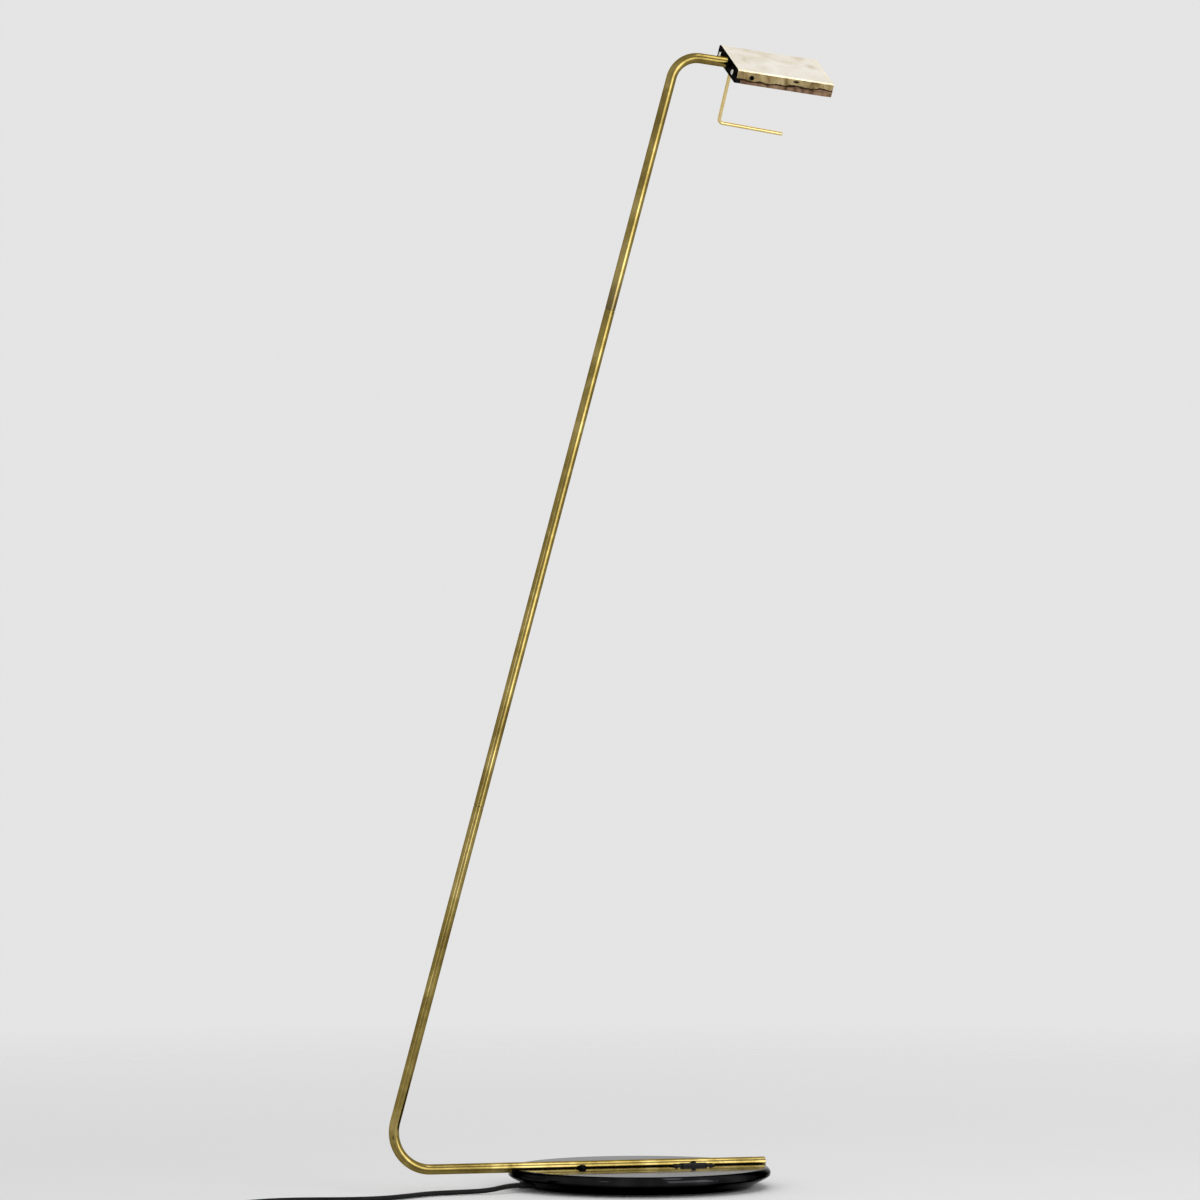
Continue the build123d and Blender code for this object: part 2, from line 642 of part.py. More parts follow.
def cord_gland():
    """The tapered strain relief, with a collar trapped in the pocket."""
    root = GLAND_MOUTH_R - GLAND_LONG
    inside = POCKET_END / cos(radians(GLAND_TURN)) - GLAND_ROOT_D * tan(radians(GLAND_TURN))
    outward = Plane(origin=gland_point(root), z_dir=GLAND_DIR)
    taper = outward.location * Cone(GLAND_ROOT_D / 2, GLAND_TIP_D / 2, GLAND_LONG, align=LOW)
    taper = fillet(taper.edges().sort_by_distance(gland_point(GLAND_MOUTH_R))[0], GLAND_EDGE_R)
    neck = rod(gland_point(inside), GLAND_DIR, root - inside, GLAND_ROOT_D)
    low = COVER_TOP - GLAND_Z
    half = GLAND_BLOCK_W / 2
    collar = block(-GLAND_BLOCK_L, 0, -half, half, low, low + GLAND_BLOCK_H)
    frame = Plane(origin=gland_point(inside - SEAT_GAP), x_dir=GLAND_DIR, z_dir=(0, 0, 1))
    neck += rod(gland_point(inside - SEAT_GAP), GLAND_DIR, GLAND_BLOCK_L, GLAND_ROOT_D)
    body = taper + neck + frame.location * collar
    bore = rod(gland_point(0), GLAND_DIR, GLAND_MOUTH_R + OVERRUN, CORD_D + 2 * FIT)
    return body - bore


def tail_start():
    """How far from the middle of the disc the cord's tail begins."""
    lean = radians(GLAND_TURN)
    return (-TERMINAL_X0 + TAIL_SPARE) / cos(lean)


def cord_tail():
    """The cord inside the base, from the terminal block to the gland's mouth."""
    return rod(gland_point(tail_start()), GLAND_DIR, GLAND_MOUTH_R - tail_start(), CORD_D)


def coil_inner_radius():
    """The winding's radius where it reverses."""
    return COIL_R - COIL_PITCH * COIL_TURNS_IN


def coil_point(turn):
    """A point of the winding, counted in turns from its start on the far left."""
    climb = min(1, max(0, (turn - COIL_TURNS_IN) / COIL_CLIMB_TURNS + 1 / 2))
    height = CORD_FLOOR + COIL_LIFT + COIL_LAYER * climb * climb * (3 - 2 * climb)
    angle = pi + 2 * pi * turn
    radius = coil_inner_radius() + COIL_PITCH * abs(turn - COIL_TURNS_IN)
    return Vector(COIL_X + radius * cos(angle), COIL_Y + radius * sin(angle), height)


def coil_slope(turn):
    """The winding's direction at a point."""
    return (coil_point(turn + TANGENT_STEP) - coil_point(turn - TANGENT_STEP)).normalized()


def biarc(start, start_dir, end, end_dir):
    """Two arcs that leave one point and reach another along given directions."""
    chord = end - start
    both = start_dir + end_dir
    square = 2 * (start_dir.dot(end_dir) - 1)
    linear = -2 * chord.dot(both)
    reach = (-linear - sqrt(linear * linear - 4 * square * chord.dot(chord))) / (2 * square)
    first = start + start_dir * reach
    last = end - end_dir * reach
    joint = (first + last) / 2
    return [Edge.make_tangent_arc(start, start_dir, joint), Edge.make_tangent_arc(joint, last - first, end)]


def coil_turns():
    """All turns of the winding."""
    return COIL_TURNS_IN + COIL_TURNS_OUT


def coil_ends():
    """Start and end of the wound cord, with a straight stretch at each."""
    start, start_dir = coil_point(0), coil_slope(0)
    end, end_dir = coil_point(coil_turns()), coil_slope(coil_turns())
    return start - start_dir * CORD_D, start_dir, end + end_dir * COIL_OUT_RUN, end_dir


def coil_path():
    """The winding as one line of arcs."""
    first, _, last, _ = coil_ends()
    count = round(coil_turns() * COIL_STEPS)
    stations = [coil_turns() * i / count for i in range(count + 1)]
    edges = [Edge.make_line(first, coil_point(0))]
    for a, b in zip(stations, stations[1:]):
        edges += biarc(coil_point(a), coil_slope(a), coil_point(b), coil_slope(b))
    edges.append(Edge.make_line(coil_point(coil_turns()), last))
    return Wire(edges)


def least_gap(path):
    """The least gap of the coiled cord to itself."""
    count = round(coil_turns() * GAP_STEPS)
    points = [path @ (i / count) for i in range(count + 1)]
    apart = GAP_STEPS // 3
    pairs = [(p - q).length for i, p in enumerate(points) for q in points[i + apart:]]
    return min(pairs) - CORD_D


def cord_coil():
    """The put-away length, wound in and out in two layers."""
    path = coil_path()
    tube = cord_along(path)
    print("coil: length %.0f, least gap %.2f, volume share %.4f" %
          (path.length, least_gap(path), tube.volume / (path.length * pi * CORD_R ** 2)))
    return tube


def free_route():
    """The points of the cord from the gland's mouth to the coil."""
    middle = [Vector(x - BASE_R, y, CORD_FLOOR + up) for x, y, up in CORD_ROUTE]
    coil_start, coil_dir = coil_ends()[:2]
    leave = [gland_point(GLAND_MOUTH_R), gland_point(GLAND_MOUTH_R + CORD_OUT_RUN)]
    return leave + middle + [coil_start - coil_dir * CORD_IN_RUN, coil_start]


def route_radii(points):
    """As large an arc at each point as its two runs allow."""
    radii = []
    for a, b, c in zip(points, points[1:], points[2:]):
        run_in, run_out = b - a, c - b
        half = radians(run_in.get_angle(run_out)) / 2
        radii.append(CORD_TURN_SHARE * min(run_in.length, run_out.length) / tan(half))
    return radii


def mains_cord():
    """The free stretch of the cord on the floor."""
    points = free_route()
    radii = route_radii(points)
    path = FilletPolyline(*points, radius=radii)
    tube = cord_along(path)
    print("cord: length %.0f, radii %s, volume share %.4f" %
          (path.length, [round(r) for r in radii], tube.volume / (path.length * pi * CORD_R ** 2)))
    return tube


def cord_tie():
    """The strap round the coil, on its far side."""
    half = TIE_W / 2
    inner_r = sqrt((coil_inner_radius() - CORD_R) ** 2 - half ** 2) - TIE_GAP
    outer_r = COIL_R + CORD_R + TIE_GAP
    low = CORD_FLOOR + COIL_LIFT - CORD_R - TIE_GAP
    high = CORD_FLOOR + COIL_LIFT + COIL_LAYER + CORD_R + TIE_GAP
    y0, y1 = COIL_Y + inner_r, COIL_Y + outer_r
    x0, x1 = COIL_X - half, COIL_X + half
    strap = block(x0, x1, y0 - TIE_T, y1 + TIE_T, low - TIE_T, high + TIE_T)
    strap = fillet(strap.edges().filter_by(Axis.X), TIE_ROUND + TIE_T)
    hole = block(x0 - OVERRUN, x1 + OVERRUN, y0, y1, low, high)
    return strap - fillet(hole.edges().filter_by(Axis.X), TIE_ROUND)


def plug_frame():
    """The plug's own frame: +Z along the cord, out of its end."""
    end, direction = coil_ends()[2:]
    return Plane(origin=end, x_dir=(0, 0, 1), z_dir=direction)


def plug_body():
    """The moulded plug with its tapered relief."""
    relief = Cone(PLUG_RELIEF_D / 2, PLUG_RELIEF_ROOT_D / 2, PLUG_RELIEF_L, align=LOW)
    body = Pos(0, 0, PLUG_RELIEF_L) * Box(PLUG_H, PLUG_W, PLUG_L, align=LOW)
    body = fillet(body.edges().filter_by(Axis.Z), PLUG_EDGE_R)
    body = fillet(body.edges().group_by(Axis.Z)[0], PLUG_EDGE_R / 2)
    whole = body + relief
    for side in (-1, 1):
        seat = Pos(0, side * PIN_SPACING / 2, PLUG_RELIEF_L + PLUG_L + OVERRUN)
        whole -= seat * Cylinder(PIN_D / 2 + FIT, PIN_SEAT + OVERRUN, align=HIGH)
    return plug_frame().location * whole


def plug_pins():
    """The two round pins."""
    pins = []
    for side in (-1, 1):
        pin = Cylinder(PIN_D / 2, PIN_SEAT + PIN_L, align=LOW)
        pin = fillet(pin.edges().group_by(Axis.Z)[-1], PIN_ROUND)
        seat = Pos(0, side * PIN_SPACING / 2, PLUG_RELIEF_L + PLUG_L - PIN_SEAT)
        pins.append(plug_frame().location * (seat * pin))
    return pins


# Pivot, drawn in the arm's frame: x along the arm, zero at the cover's near end

def along_arm(x):
    """A point on the arm's line, in the head's or the arm's own frame."""
    return Vector(x, 0, 0)


def pivot_spindle():
    """The hollow spindle screwed into the arm's end."""
    shank = rod(along_arm(ARM_END - SPINDLE_SHANK_L), AXIS_DIR, SPINDLE_SHANK_L, TUBE_BORE - 2 * FIT)
    pin = rod(along_arm(ARM_END), AXIS_DIR, SPINDLE_END - ARM_END, SPINDLE_D)
    bore_from = along_arm(ARM_END - SPINDLE_SHANK_L - OVERRUN)
    bore_l = SPINDLE_SHANK_L + SPINDLE_END - ARM_END + 2 * OVERRUN
    return in_arm(shank + pin - rod(bore_from, AXIS_DIR, bore_l, SPINDLE_BORE))


def stop_pin_bar(x0, x1, diameter):
    """A bar on the stop pin's line, under the arm's line."""
    return rod(Vector(x0, 0, -STOP_PIN_R), AXIS_DIR, x1 - x0, diameter)


def stop_pin():
    """The pin in the arm's end that runs in the cap's curved groove."""
    return in_arm(stop_pin_bar(ARM_END - STOP_PIN_SEAT, STOP_PIN_IN - CAP_RIM, STOP_PIN_D))


def outer_washer():
    """The friction washer between the arm's end and the cap."""
    plate = ring(along_arm(ARM_END), AXIS_DIR, WASHER_T, WASHER_D, SPINDLE_D + 2 * FIT)
    pin_hole = stop_pin_bar(ARM_END - OVERRUN, ARM_END + WASHER_T + OVERRUN, STOP_PIN_D + 2 * FIT)
    return in_arm(plate - pin_hole)


def inner_washer():
    """The friction washer behind the cap."""
    start = along_arm(CAP_BLOCK + WASHER_RUN)
    return in_arm(ring(start, AXIS_DIR, WASHER_T, SPRING_D, SPINDLE_D + 2 * FIT))


def spring_washer():
    """The springy ring that keeps the head stiff to turn."""
    start = along_arm(CAP_BLOCK + WASHER_RUN + WASHER_T)
    return in_arm(ring(start, AXIS_DIR, SPRING_T, SPRING_D, SPINDLE_D + 2 * FIT))


def ring_nut():
    """The slotted nut at the end of the spindle."""
    nut = ring(along_arm(NUT_FROM), AXIS_DIR, NUT_T, NUT_D, SPINDLE_D + 2 * FIT)
    face = SPINDLE_END
    half = NUT_SLOT_W / 2
    slot = block(face - NUT_SLOT_DEEP, face + OVERRUN, -NUT_D, NUT_D, -half, half)
    return in_arm(nut - slot)


# Head, drawn in the slab's frame: x along the arm, y across, z square to the slab

def stop_groove():
    """The curved groove in the cap that lets the stop pin pass."""
    pin_half = STOP_PIN_D / 2 + RUN_GAP
    swing = STOP_HALF + STOP_SPARE + degrees(pin_half / STOP_PIN_R)
    face = Plane(origin=along_arm(-CAP_RIM - OVERRUN), x_dir=DOWN, z_dir=AXIS_DIR)
    path = face * CenterArc((0, 0), STOP_PIN_R, -swing, 2 * swing)
    width = 2 * pin_half
    deep = OVERRUN + STOP_PIN_IN + RUN_GAP
    start = Plane(origin=path @ 0, x_dir=AXIS_DIR, z_dir=path % 0)
    section = start * (Pos(deep / 2, 0) * Rectangle(deep, width))
    return sweep(section, path=path)


def end_screw_seats(face, outward):
    """Seats of the two screws on the outer face of an end cap."""
    return [Vector(face + outward * CAP_RIM, side * END_SCREW_Y, END_SCREW_Z) for side in (-1, 1)]


def cap_blank(face, outward):
    """An end cap: a rim as large as the slab's section and a block inside it."""
    rim = Plane(origin=(face, 0, (SLAB_UP + SLAB_DOWN) / 2), x_dir=(0, 1, 0), z_dir=(outward, 0, 0))
    plate = extrude(rim * RectangleRounded(HEAD_W, HEAD_T, FOLD_R), amount=CAP_RIM)
    plate = fillet(plate.faces().sort_by(Axis.X)[0 if outward < 0 else -1].edges(), CAP_EDGE_R)
    inner = face - outward * CAP_BLOCK
    half = CAVITY_HALF - RUN_GAP
    body = block(min(face, inner), max(face, inner), -half, half, SLAB_DOWN, CAVITY_TOP - SEAT_GAP)
    cap = plate + body
    for seat in end_screw_seats(face, outward):
        inward = Vector(-outward, 0, 0)
        cap -= rod(seat, inward, CAP_RIM + CAP_BLOCK + OVERRUN, END_SCREW_D + 2 * SEAT_GAP)
    return cap


def hub_cap():
    """The cap that turns on the spindle and holds the wand."""
    cap = cap_blank(0, -1)
    deep = CAP_RIM + CAP_BLOCK + 2 * OVERRUN
    cap -= rod(along_arm(-CAP_RIM - OVERRUN), AXIS_DIR, deep, SPINDLE_D + 2 * FIT)
    stub = Vector(WAND_X, WAND_Y, SLAB_DOWN)
    cap -= rod(stub, UP, WAND_STUB_L + FIT, WAND_STUB_D + 2 * FIT)
    return in_head(cap - stop_groove())


def far_cap():
    """The cap at the free end."""
    return in_head(cap_blank(HEAD_L, 1))


def side_screw_seats():
    """Seats of the screws in the two side walls."""
    return [Vector(SIDE_SCREW_X, side * HEAD_W / 2, SIDE_SCREW_Z) for side in (-1, 1)]


def shade_cover():
    """The folded brass sheet: top and two side walls."""
    middle = Plane(origin=(0, 0, AXIS_DROP - WALL_H / 2), x_dir=(0, 1, 0), z_dir=AXIS_DIR)
    outer = extrude(middle * Rectangle(HEAD_W, WALL_H), amount=HEAD_L)
    folds = outer.edges().filter_by(Axis.X).group_by(Axis.Z)[-1]
    outer = fillet(folds, FOLD_R)
    inner = block(-OVERRUN, HEAD_L + OVERRUN, -CAVITY_HALF, CAVITY_HALF, WALL_DOWN - OVERRUN, CAVITY_TOP)
    inner = fillet(inner.edges().filter_by(Axis.X).group_by(Axis.Z)[-1], FOLD_R - SHEET)
    cover = outer - inner
    for seat in side_screw_seats():
        inward = Vector(0, -seat.Y, 0).normalized()
        cover -= rod(seat - inward * OVERRUN, inward, SHEET + 2 * OVERRUN, SIDE_SCREW_D + 2 * SEAT_GAP)
    return in_head(cover)


def side_screws():
    """The small screw in each side wall."""
    made = []
    for seat in side_screw_seats():
        outward = Vector(0, seat.Y, 0)
        made.append(screw(seat, outward, SIDE_SCREW_HEAD_D, SIDE_SCREW_HEAD_H, SIDE_SCREW_D, SIDE_SCREW_L))
    return [in_head(s) for s in made]


def end_screws():
    """The bright screws in both end caps."""
    made = []
    for face, outward in ((0, -1), (HEAD_L, 1)):
        for seat in end_screw_seats(face, outward):
            way = Vector(outward, 0, 0)
            made.append(screw(seat, way, END_SCREW_HEAD_D, END_SCREW_HEAD_H, END_SCREW_D, END_SCREW_L))
    return [in_head(s) for s in made]


def frame_screw_places():
    """The four screws of the lower frame."""
    x0 = CAP_BLOCK + FRAME_SCREW_IN_X
    y0 = CAVITY_HALF - FRAME_INSET - FRAME_SCREW_IN_Y
    return [Vector(x, y, SLAB_DOWN) for x in (x0, HEAD_L - x0) for y in (-y0, y0)]


def heat_spreader():
    """The aluminium plate with a rail along each side, which the caps and the cover are screwed to."""
    top = CAVITY_TOP - SEAT_GAP
    low = WALL_DOWN + SEAT_GAP
    outer = CAVITY_HALF - RUN_GAP
    ends = (CAP_BLOCK + SEAT_GAP, HEAD_L - CAP_BLOCK - SEAT_GAP)
    body = block(SPREADER_FROM, ends[1], -outer, outer, top - SPREADER_T, top)
    for side in (-1, 1):
        edges = sorted((side * outer, side * (outer - RAIL_W)))
        body += block(ends[0], ends[1], edges[0], edges[1], low, top)
    for face, outward in ((0, -1), (HEAD_L, 1)):
        for seat in end_screw_seats(face, outward):
            body -= rod(seat, Vector(-outward, 0, 0), END_SCREW_L + FIT, END_SCREW_D + 2 * FIT)
    for seat in side_screw_seats():
        body -= rod(seat, Vector(0, -seat.Y, 0), SIDE_SCREW_L + FIT, SIDE_SCREW_D + 2 * FIT)
    for place in frame_screw_places():
        body -= rod(place, UP, FRAME_SCREW_L + FIT, FRAME_SCREW_D + 2 * FIT)
    return in_head(body)


def board_span():
    """Ends and half width of the light board."""
    half = CAVITY_HALF - RUN_GAP - RAIL_W - BOARD_MARGIN
    return SPREADER_FROM + BOARD_MARGIN, HEAD_L - CAP_BLOCK - BOARD_MARGIN, half


def board_top():
    """Height of the light board's back."""
    return CAVITY_TOP - SEAT_GAP - SPREADER_T


def light_board():
    """The board under the spreader."""
    x0, x1, half = board_span()
    return in_head(block(x0, x1, -half, half, board_top() - BOARD_T, board_top()))


def light_chips():
    """The grid of light chips under the board."""
    x0, x1, half = board_span()
    step_x = (x1 - x0) / CHIP_COLS
    step_y = 2 * half / CHIP_ROWS
    seat = board_top() - BOARD_T - CHIP_T / 2
    chips = []
    for col in range(CHIP_COLS):
        for row in range(CHIP_ROWS):
            place = Pos(x0 + step_x * (col + 1 / 2), -half + step_y * (row + 1 / 2), seat)
            chips.append(in_head(place * Box(CHIP_L, CHIP_W, CHIP_T)))
    return chips


def lower_frame():
    """The brass frame under the shadow gap, which holds the diffuser."""
    x0, x1 = CAP_BLOCK + SEAT_GAP, HEAD_L - CAP_BLOCK - SEAT_GAP
    half = HEAD_W / 2 - FRAME_INSET
    top = WALL_DOWN - LIP_GAP
    frame = block(x0, x1, -half, half, SLAB_DOWN, top)
    w = FRAME_WALL
    floor = SLAB_DOWN + FRAME_LEDGE_T
    frame -= block(x0 + w, x1 - w, -half + w, half - w, floor, top + OVERRUN)
    e = FRAME_LEDGE
    frame -= block(x0 + e, x1 - e, -half + e, half - e, SLAB_DOWN - OVERRUN, top)
    for place in frame_screw_places():
        frame -= rod(place - Vector(0, 0, OVERRUN), UP, HEAD_T, FRAME_SCREW_D + 2 * SEAT_GAP)
    return in_head(frame)


def diffuser():
    """The opal plate in the lower frame."""
    inset = FRAME_WALL + SEAT_GAP
    x0, x1 = CAP_BLOCK + SEAT_GAP + inset, HEAD_L - CAP_BLOCK - SEAT_GAP - inset
    half = HEAD_W / 2 - FRAME_INSET - inset
    low = SLAB_DOWN + FRAME_LEDGE_T
    plate = block(x0, x1, -half, half, low, low + DIFFUSER_T)
    for place in frame_screw_places():
        plate -= rod(place, UP, HEAD_T, FRAME_SCREW_D + 2 * SEAT_GAP)
    return in_head(plate)


def frame_screws():
    """The four screws under the lower frame."""
    made = []
    for place in frame_screw_places():
        made.append(screw(place, DOWN, FRAME_SCREW_HEAD_D, FRAME_SCREW_HEAD_H, FRAME_SCREW_D, FRAME_SCREW_L))
    return [in_head(s) for s in made]


def wand():
    """The bent rod under the hub cap, with a rounded tip."""
    root = Vector(WAND_X, WAND_Y, SLAB_DOWN)
    corner = Vector(WAND_X, WAND_Y, -WAND_DROP)
    dip = radians(WAND_DIP)
    tip = corner + Vector(cos(dip), 0, -sin(dip)) * WAND_LEG
    path = FilletPolyline(root, corner, tip, radius=WAND_BEND_R)
    bar = sweep(Plane(origin=path @ 0, z_dir=path % 0) * Circle(WAND_D / 2), path=path)
    bar = fillet(bar.faces().sort_by(Axis.X)[-1].edges(), WAND_TIP_ROUND)
    return in_head(bar + rod(root, UP, WAND_STUB_L, WAND_STUB_D))


NODES = {
    "base_plate": base_plate, "foot_pad": foot_pad, "base_cover": base_cover, "cover_screws": cover_screws,
    "lower_tube": lower_tube, "middle_tube": middle_tube, "upper_tube": upper_tube,
    "tube_couplers": tube_couplers, "tube_end_plug": tube_end_plug, "tube_inserts": tube_inserts,
    "tube_screws": tube_screws, "flank_screws": flank_screws, "head_lead": head_lead,
    "dimmer_body": dimmer_body, "dimmer_screws": dimmer_screws, "dimmer_mechanism": dimmer_mechanism,
    "dimmer_slider": dimmer_slider, "light_driver": light_driver, "terminal_block": terminal_block,
    "cord_gland": cord_gland, "cord_tail": cord_tail, "mains_cord": mains_cord, "cord_coil": cord_coil,
    "cord_tie": cord_tie, "plug_body": plug_body, "plug_pins": plug_pins,
    "pivot_spindle": pivot_spindle, "outer_washer": outer_washer, "inner_washer": inner_washer,
    "spring_washer": spring_washer, "ring_nut": ring_nut, "stop_pin": stop_pin,
    "hub_cap": hub_cap, "far_cap": far_cap, "shade_cover": shade_cover,
    "side_screws": side_screws, "end_screws": end_screws, "heat_spreader": heat_spreader,
    "light_board": light_board, "light_chips": light_chips, "lower_frame": lower_frame,
    "diffuser": diffuser, "frame_screws": frame_screws, "wand": wand,
}


def main():
    """Writes one file for each piece."""
    os.makedirs("parts", exist_ok=True)
    for name, make in NODES.items():
        made = make()
        shape = Compound(children=made) if isinstance(made, list) else made
        export_step(shape, "parts/%s.step" % name)


main()
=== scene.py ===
# %% [markdown]
# # A leaning brass reading lamp
# One bent brass tube lies across a black disc, turns up, leans back over the disc and ends in a
# short arm with a flat lit head. The solids come from a CAD model, already in place and in
# metres. They could be modelled again in Blender, but they are exact as they are, so this lesson
# keeps them and adds what a CAD model lacks: a limp cord, small moulded details, finishes and
# light.

# %% Load the solids
import json
import math

import bpy
from mathutils import Euler, Matrix, Vector


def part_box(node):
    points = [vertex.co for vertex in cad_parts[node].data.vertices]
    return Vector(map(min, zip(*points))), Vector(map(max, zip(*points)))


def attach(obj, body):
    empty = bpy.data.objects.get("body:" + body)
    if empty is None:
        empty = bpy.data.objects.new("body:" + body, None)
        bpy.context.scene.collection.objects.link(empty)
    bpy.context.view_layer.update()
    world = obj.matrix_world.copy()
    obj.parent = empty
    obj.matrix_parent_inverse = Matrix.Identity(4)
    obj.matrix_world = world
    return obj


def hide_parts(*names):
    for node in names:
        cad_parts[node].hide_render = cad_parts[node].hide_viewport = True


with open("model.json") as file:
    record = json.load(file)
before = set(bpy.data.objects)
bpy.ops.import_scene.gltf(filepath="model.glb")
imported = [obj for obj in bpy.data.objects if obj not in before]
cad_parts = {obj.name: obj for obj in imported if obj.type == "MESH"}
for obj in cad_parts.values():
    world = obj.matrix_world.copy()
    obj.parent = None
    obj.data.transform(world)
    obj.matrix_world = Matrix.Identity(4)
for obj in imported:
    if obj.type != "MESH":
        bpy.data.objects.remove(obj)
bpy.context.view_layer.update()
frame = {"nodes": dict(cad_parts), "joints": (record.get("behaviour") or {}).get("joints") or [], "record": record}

nodes = frame["nodes"]
scene = bpy.context.scene

# %% [markdown]
# ## The camera
# The picture of the lamp was taken from far away with a long lens, so its upright lines stay
# parallel and the disc is a thin ellipse. A camera could be aimed by eye, but the tube's known
# bends give its place exactly: level, at about half the lamp's height, and turned 15 degrees to
# the side.

# %% Place the camera
CAMERA_PLACE = (-1.960, -6.922, 0.6393)
CAMERA_TURN = 15.468        # degrees to the right of straight ahead
LENS = 198                  # millimetres
SENSOR = 36                 # millimetres wide
SEES_TO = 100               # metres

camera_data = bpy.data.cameras.new("studio_camera")
camera_data.lens = LENS
camera_data.sensor_width = SENSOR
camera_data.clip_end = SEES_TO
camera = bpy.data.objects.new("studio_camera", camera_data)
camera.location = CAMERA_PLACE
camera.rotation_euler = (math.radians(90), 0, math.radians(-CAMERA_TURN))
scene.collection.objects.link(camera)
scene.camera = camera
print("camera at", CAMERA_PLACE, "with a lens of", LENS)

# %% [markdown]
# ## The route of the mains cord
# The cord leaves the disc through a rubber relief, drops to the floor and wanders off to the
# left. What isn't needed is wound into a small tied coil that ends in the plug. A tube swept
# along straight runs would look like bent wire, so the points below steer one smooth NURBS line
# instead.

# %% Points on the floor
CORD_EXIT = (-0.14281, -0.03036, 0.00730)

floor_points = [
    CORD_EXIT, (-0.15650, -0.03327, 0.00730), (-0.18100, -0.04500, 0.00360),
    (-0.21400, -0.04550, 0.00280), (-0.24800, -0.05200, 0.00280), (-0.28000, -0.07600, 0.00280),
    (-0.31300, -0.09700, 0.00280), (-0.35200, -0.09900, 0.00280), (-0.39500, -0.08800, 0.00280),
    (-0.43300, -0.08900, 0.00280), (-0.47200, -0.11100, 0.00280), (-0.50000, -0.14800, 0.00310),
    (-0.51285, -0.19851, 0.00360), (-0.51212, -0.23250, 0.00360),
]
print("points on the floor:", len(floor_points))

# %% Points of the coil
COIL_MIDDLE = (-0.468, -0.238)
COIL_INNER = 0.0215         # radius where the winding turns back outwards
COIL_PITCH = 0.006          # from one turn to the next
COIL_LAYER = 0.006          # from the first layer to the second
COIL_LOW = 0.0036           # height of the first layer
TURNS_IN = 3.75
TURNS_ALL = 7.25
CLIMB_TURNS = 0.5           # how long the climb to the second layer takes
POINTS_A_TURN = 24
PLUG_START = (-0.44601, -0.28099, 0.0096)


def coil_point(turn):
    """A point of the winding, which goes inwards, climbs a layer and comes out again."""
    climb = min(1, max(0, (turn - TURNS_IN) / CLIMB_TURNS + 0.5))
    height = COIL_LOW + COIL_LAYER * climb * climb * (3 - 2 * climb)
    radius = COIL_INNER + COIL_PITCH * abs(turn - TURNS_IN)
    angle = math.pi + 2 * math.pi * turn
    x = COIL_MIDDLE[0] + radius * math.cos(angle)
    y = COIL_MIDDLE[1] + radius * math.sin(angle)
    return (x, y, height)


last_point = round(TURNS_ALL * POINTS_A_TURN)
coil_points = [coil_point(number / POINTS_A_TURN) for number in range(last_point + 1)]
print("points in the coil:", len(coil_points))

# %% [markdown]
# ## The cord itself
# A curve needs no mesh of its own: its bevel gives it the cord's thickness, and caps close it.
# A mesh is made from the bare line before the bevel is set, and removed again.

# %% Draw the cord's line
LINE_ORDER = 3              # how many points pull at each bit of the line
LINE_STEPS = 8              # between two points

cord_data = bpy.data.curves.new("floor_cord", "CURVE")
cord_data.dimensions = "3D"
cord_line = cord_data.splines.new("NURBS")
cord_points = floor_points + coil_points + [PLUG_START]
cord_line.points.add(len(cord_points) - 1)
for control, place in zip(cord_line.points, cord_points):
    control.co = (*place, 1)
cord_line.order_u = LINE_ORDER
cord_line.use_endpoint_u = True
cord_line.resolution_u = LINE_STEPS
cord = bpy.data.objects.new("floor_cord", cord_data)
scene.collection.objects.link(cord)
print("points in the cord:", len(cord_points))

# %% Make it thick
CORD_THICK = 0.0055
CORD_ROUNDNESS = 4          # more makes its section rounder

bare_line = bpy.data.meshes.new_from_object(cord)
bpy.data.meshes.remove(bare_line)
cord_data.bevel_depth = CORD_THICK / 2
cord_data.bevel_resolution = CORD_ROUNDNESS
cord_data.use_fill_caps = True

# %% [markdown]
# ## Tools for the finishes
# Every finish is a small tree of nodes round one Principled shader. A painted picture could be
# wrapped on each piece, but patterns that are worked out from the place on the piece need no
# unwrapping and stay sharp. These few helpers keep the finishes below short.

# %% Start a finish and add nodes
def add_node(tree, kind, sockets, **settings):
    """Adds a node, and gives each socket a value or a link."""
    made = tree.nodes.new(kind)
    for key, value in settings.items():
        setattr(made, key, value)
    for label, value in sockets.items():
        if isinstance(value, bpy.types.NodeSocket):
            tree.links.new(value, made.inputs[label])
        else:
            made.inputs[label].default_value = value
    return made


def put(tree, kind, sockets, **settings):
    """Adds a node of a finish."""
    return add_node(tree, "ShaderNode" + kind, sockets, **settings)


def start_finish(name):
    """A new material with its tree and its Principled shader."""
    material = bpy.data.materials.new(name)
    material.use_nodes = True
    return material, material.node_tree, material.node_tree.nodes["Principled BSDF"]


def feed(tree, shader, **links):
    """Links values to the shader's sockets."""
    for label, value in links.items():
        tree.links.new(value, shader.inputs[label.replace("_", " ")])


finishes = {}
print("finishes so far:", len(finishes))

# %% Places, patterns and sums
CLOUD_ROUGH = 0.6           # how much the finer parts of a cloud count
CLOUD_LOW = 0.35            # most of a cloud lies between these two values
CLOUD_HIGH = 0.65
CLOUD_MIDDLE = 0.5
PLAIN = 2.0                 # layers of ever finer detail in a cloud
SOFT = 3.0
FULL = 4.0
RICH = 5.0


def on_piece(tree):
    """The place on the piece, in metres."""
    return put(tree, "TexCoord", {}).outputs["Object"]


def clouds(tree, where, size, layers, bent=0.0):
    """Cloudy spots of about this size, as a value round one half."""
    sockets = {"Vector": where, "Scale": 1 / size, "Detail": layers, "Roughness": CLOUD_ROUGH,
               "Distortion": bent}
    return put(tree, "TexNoise", sockets).outputs[0]


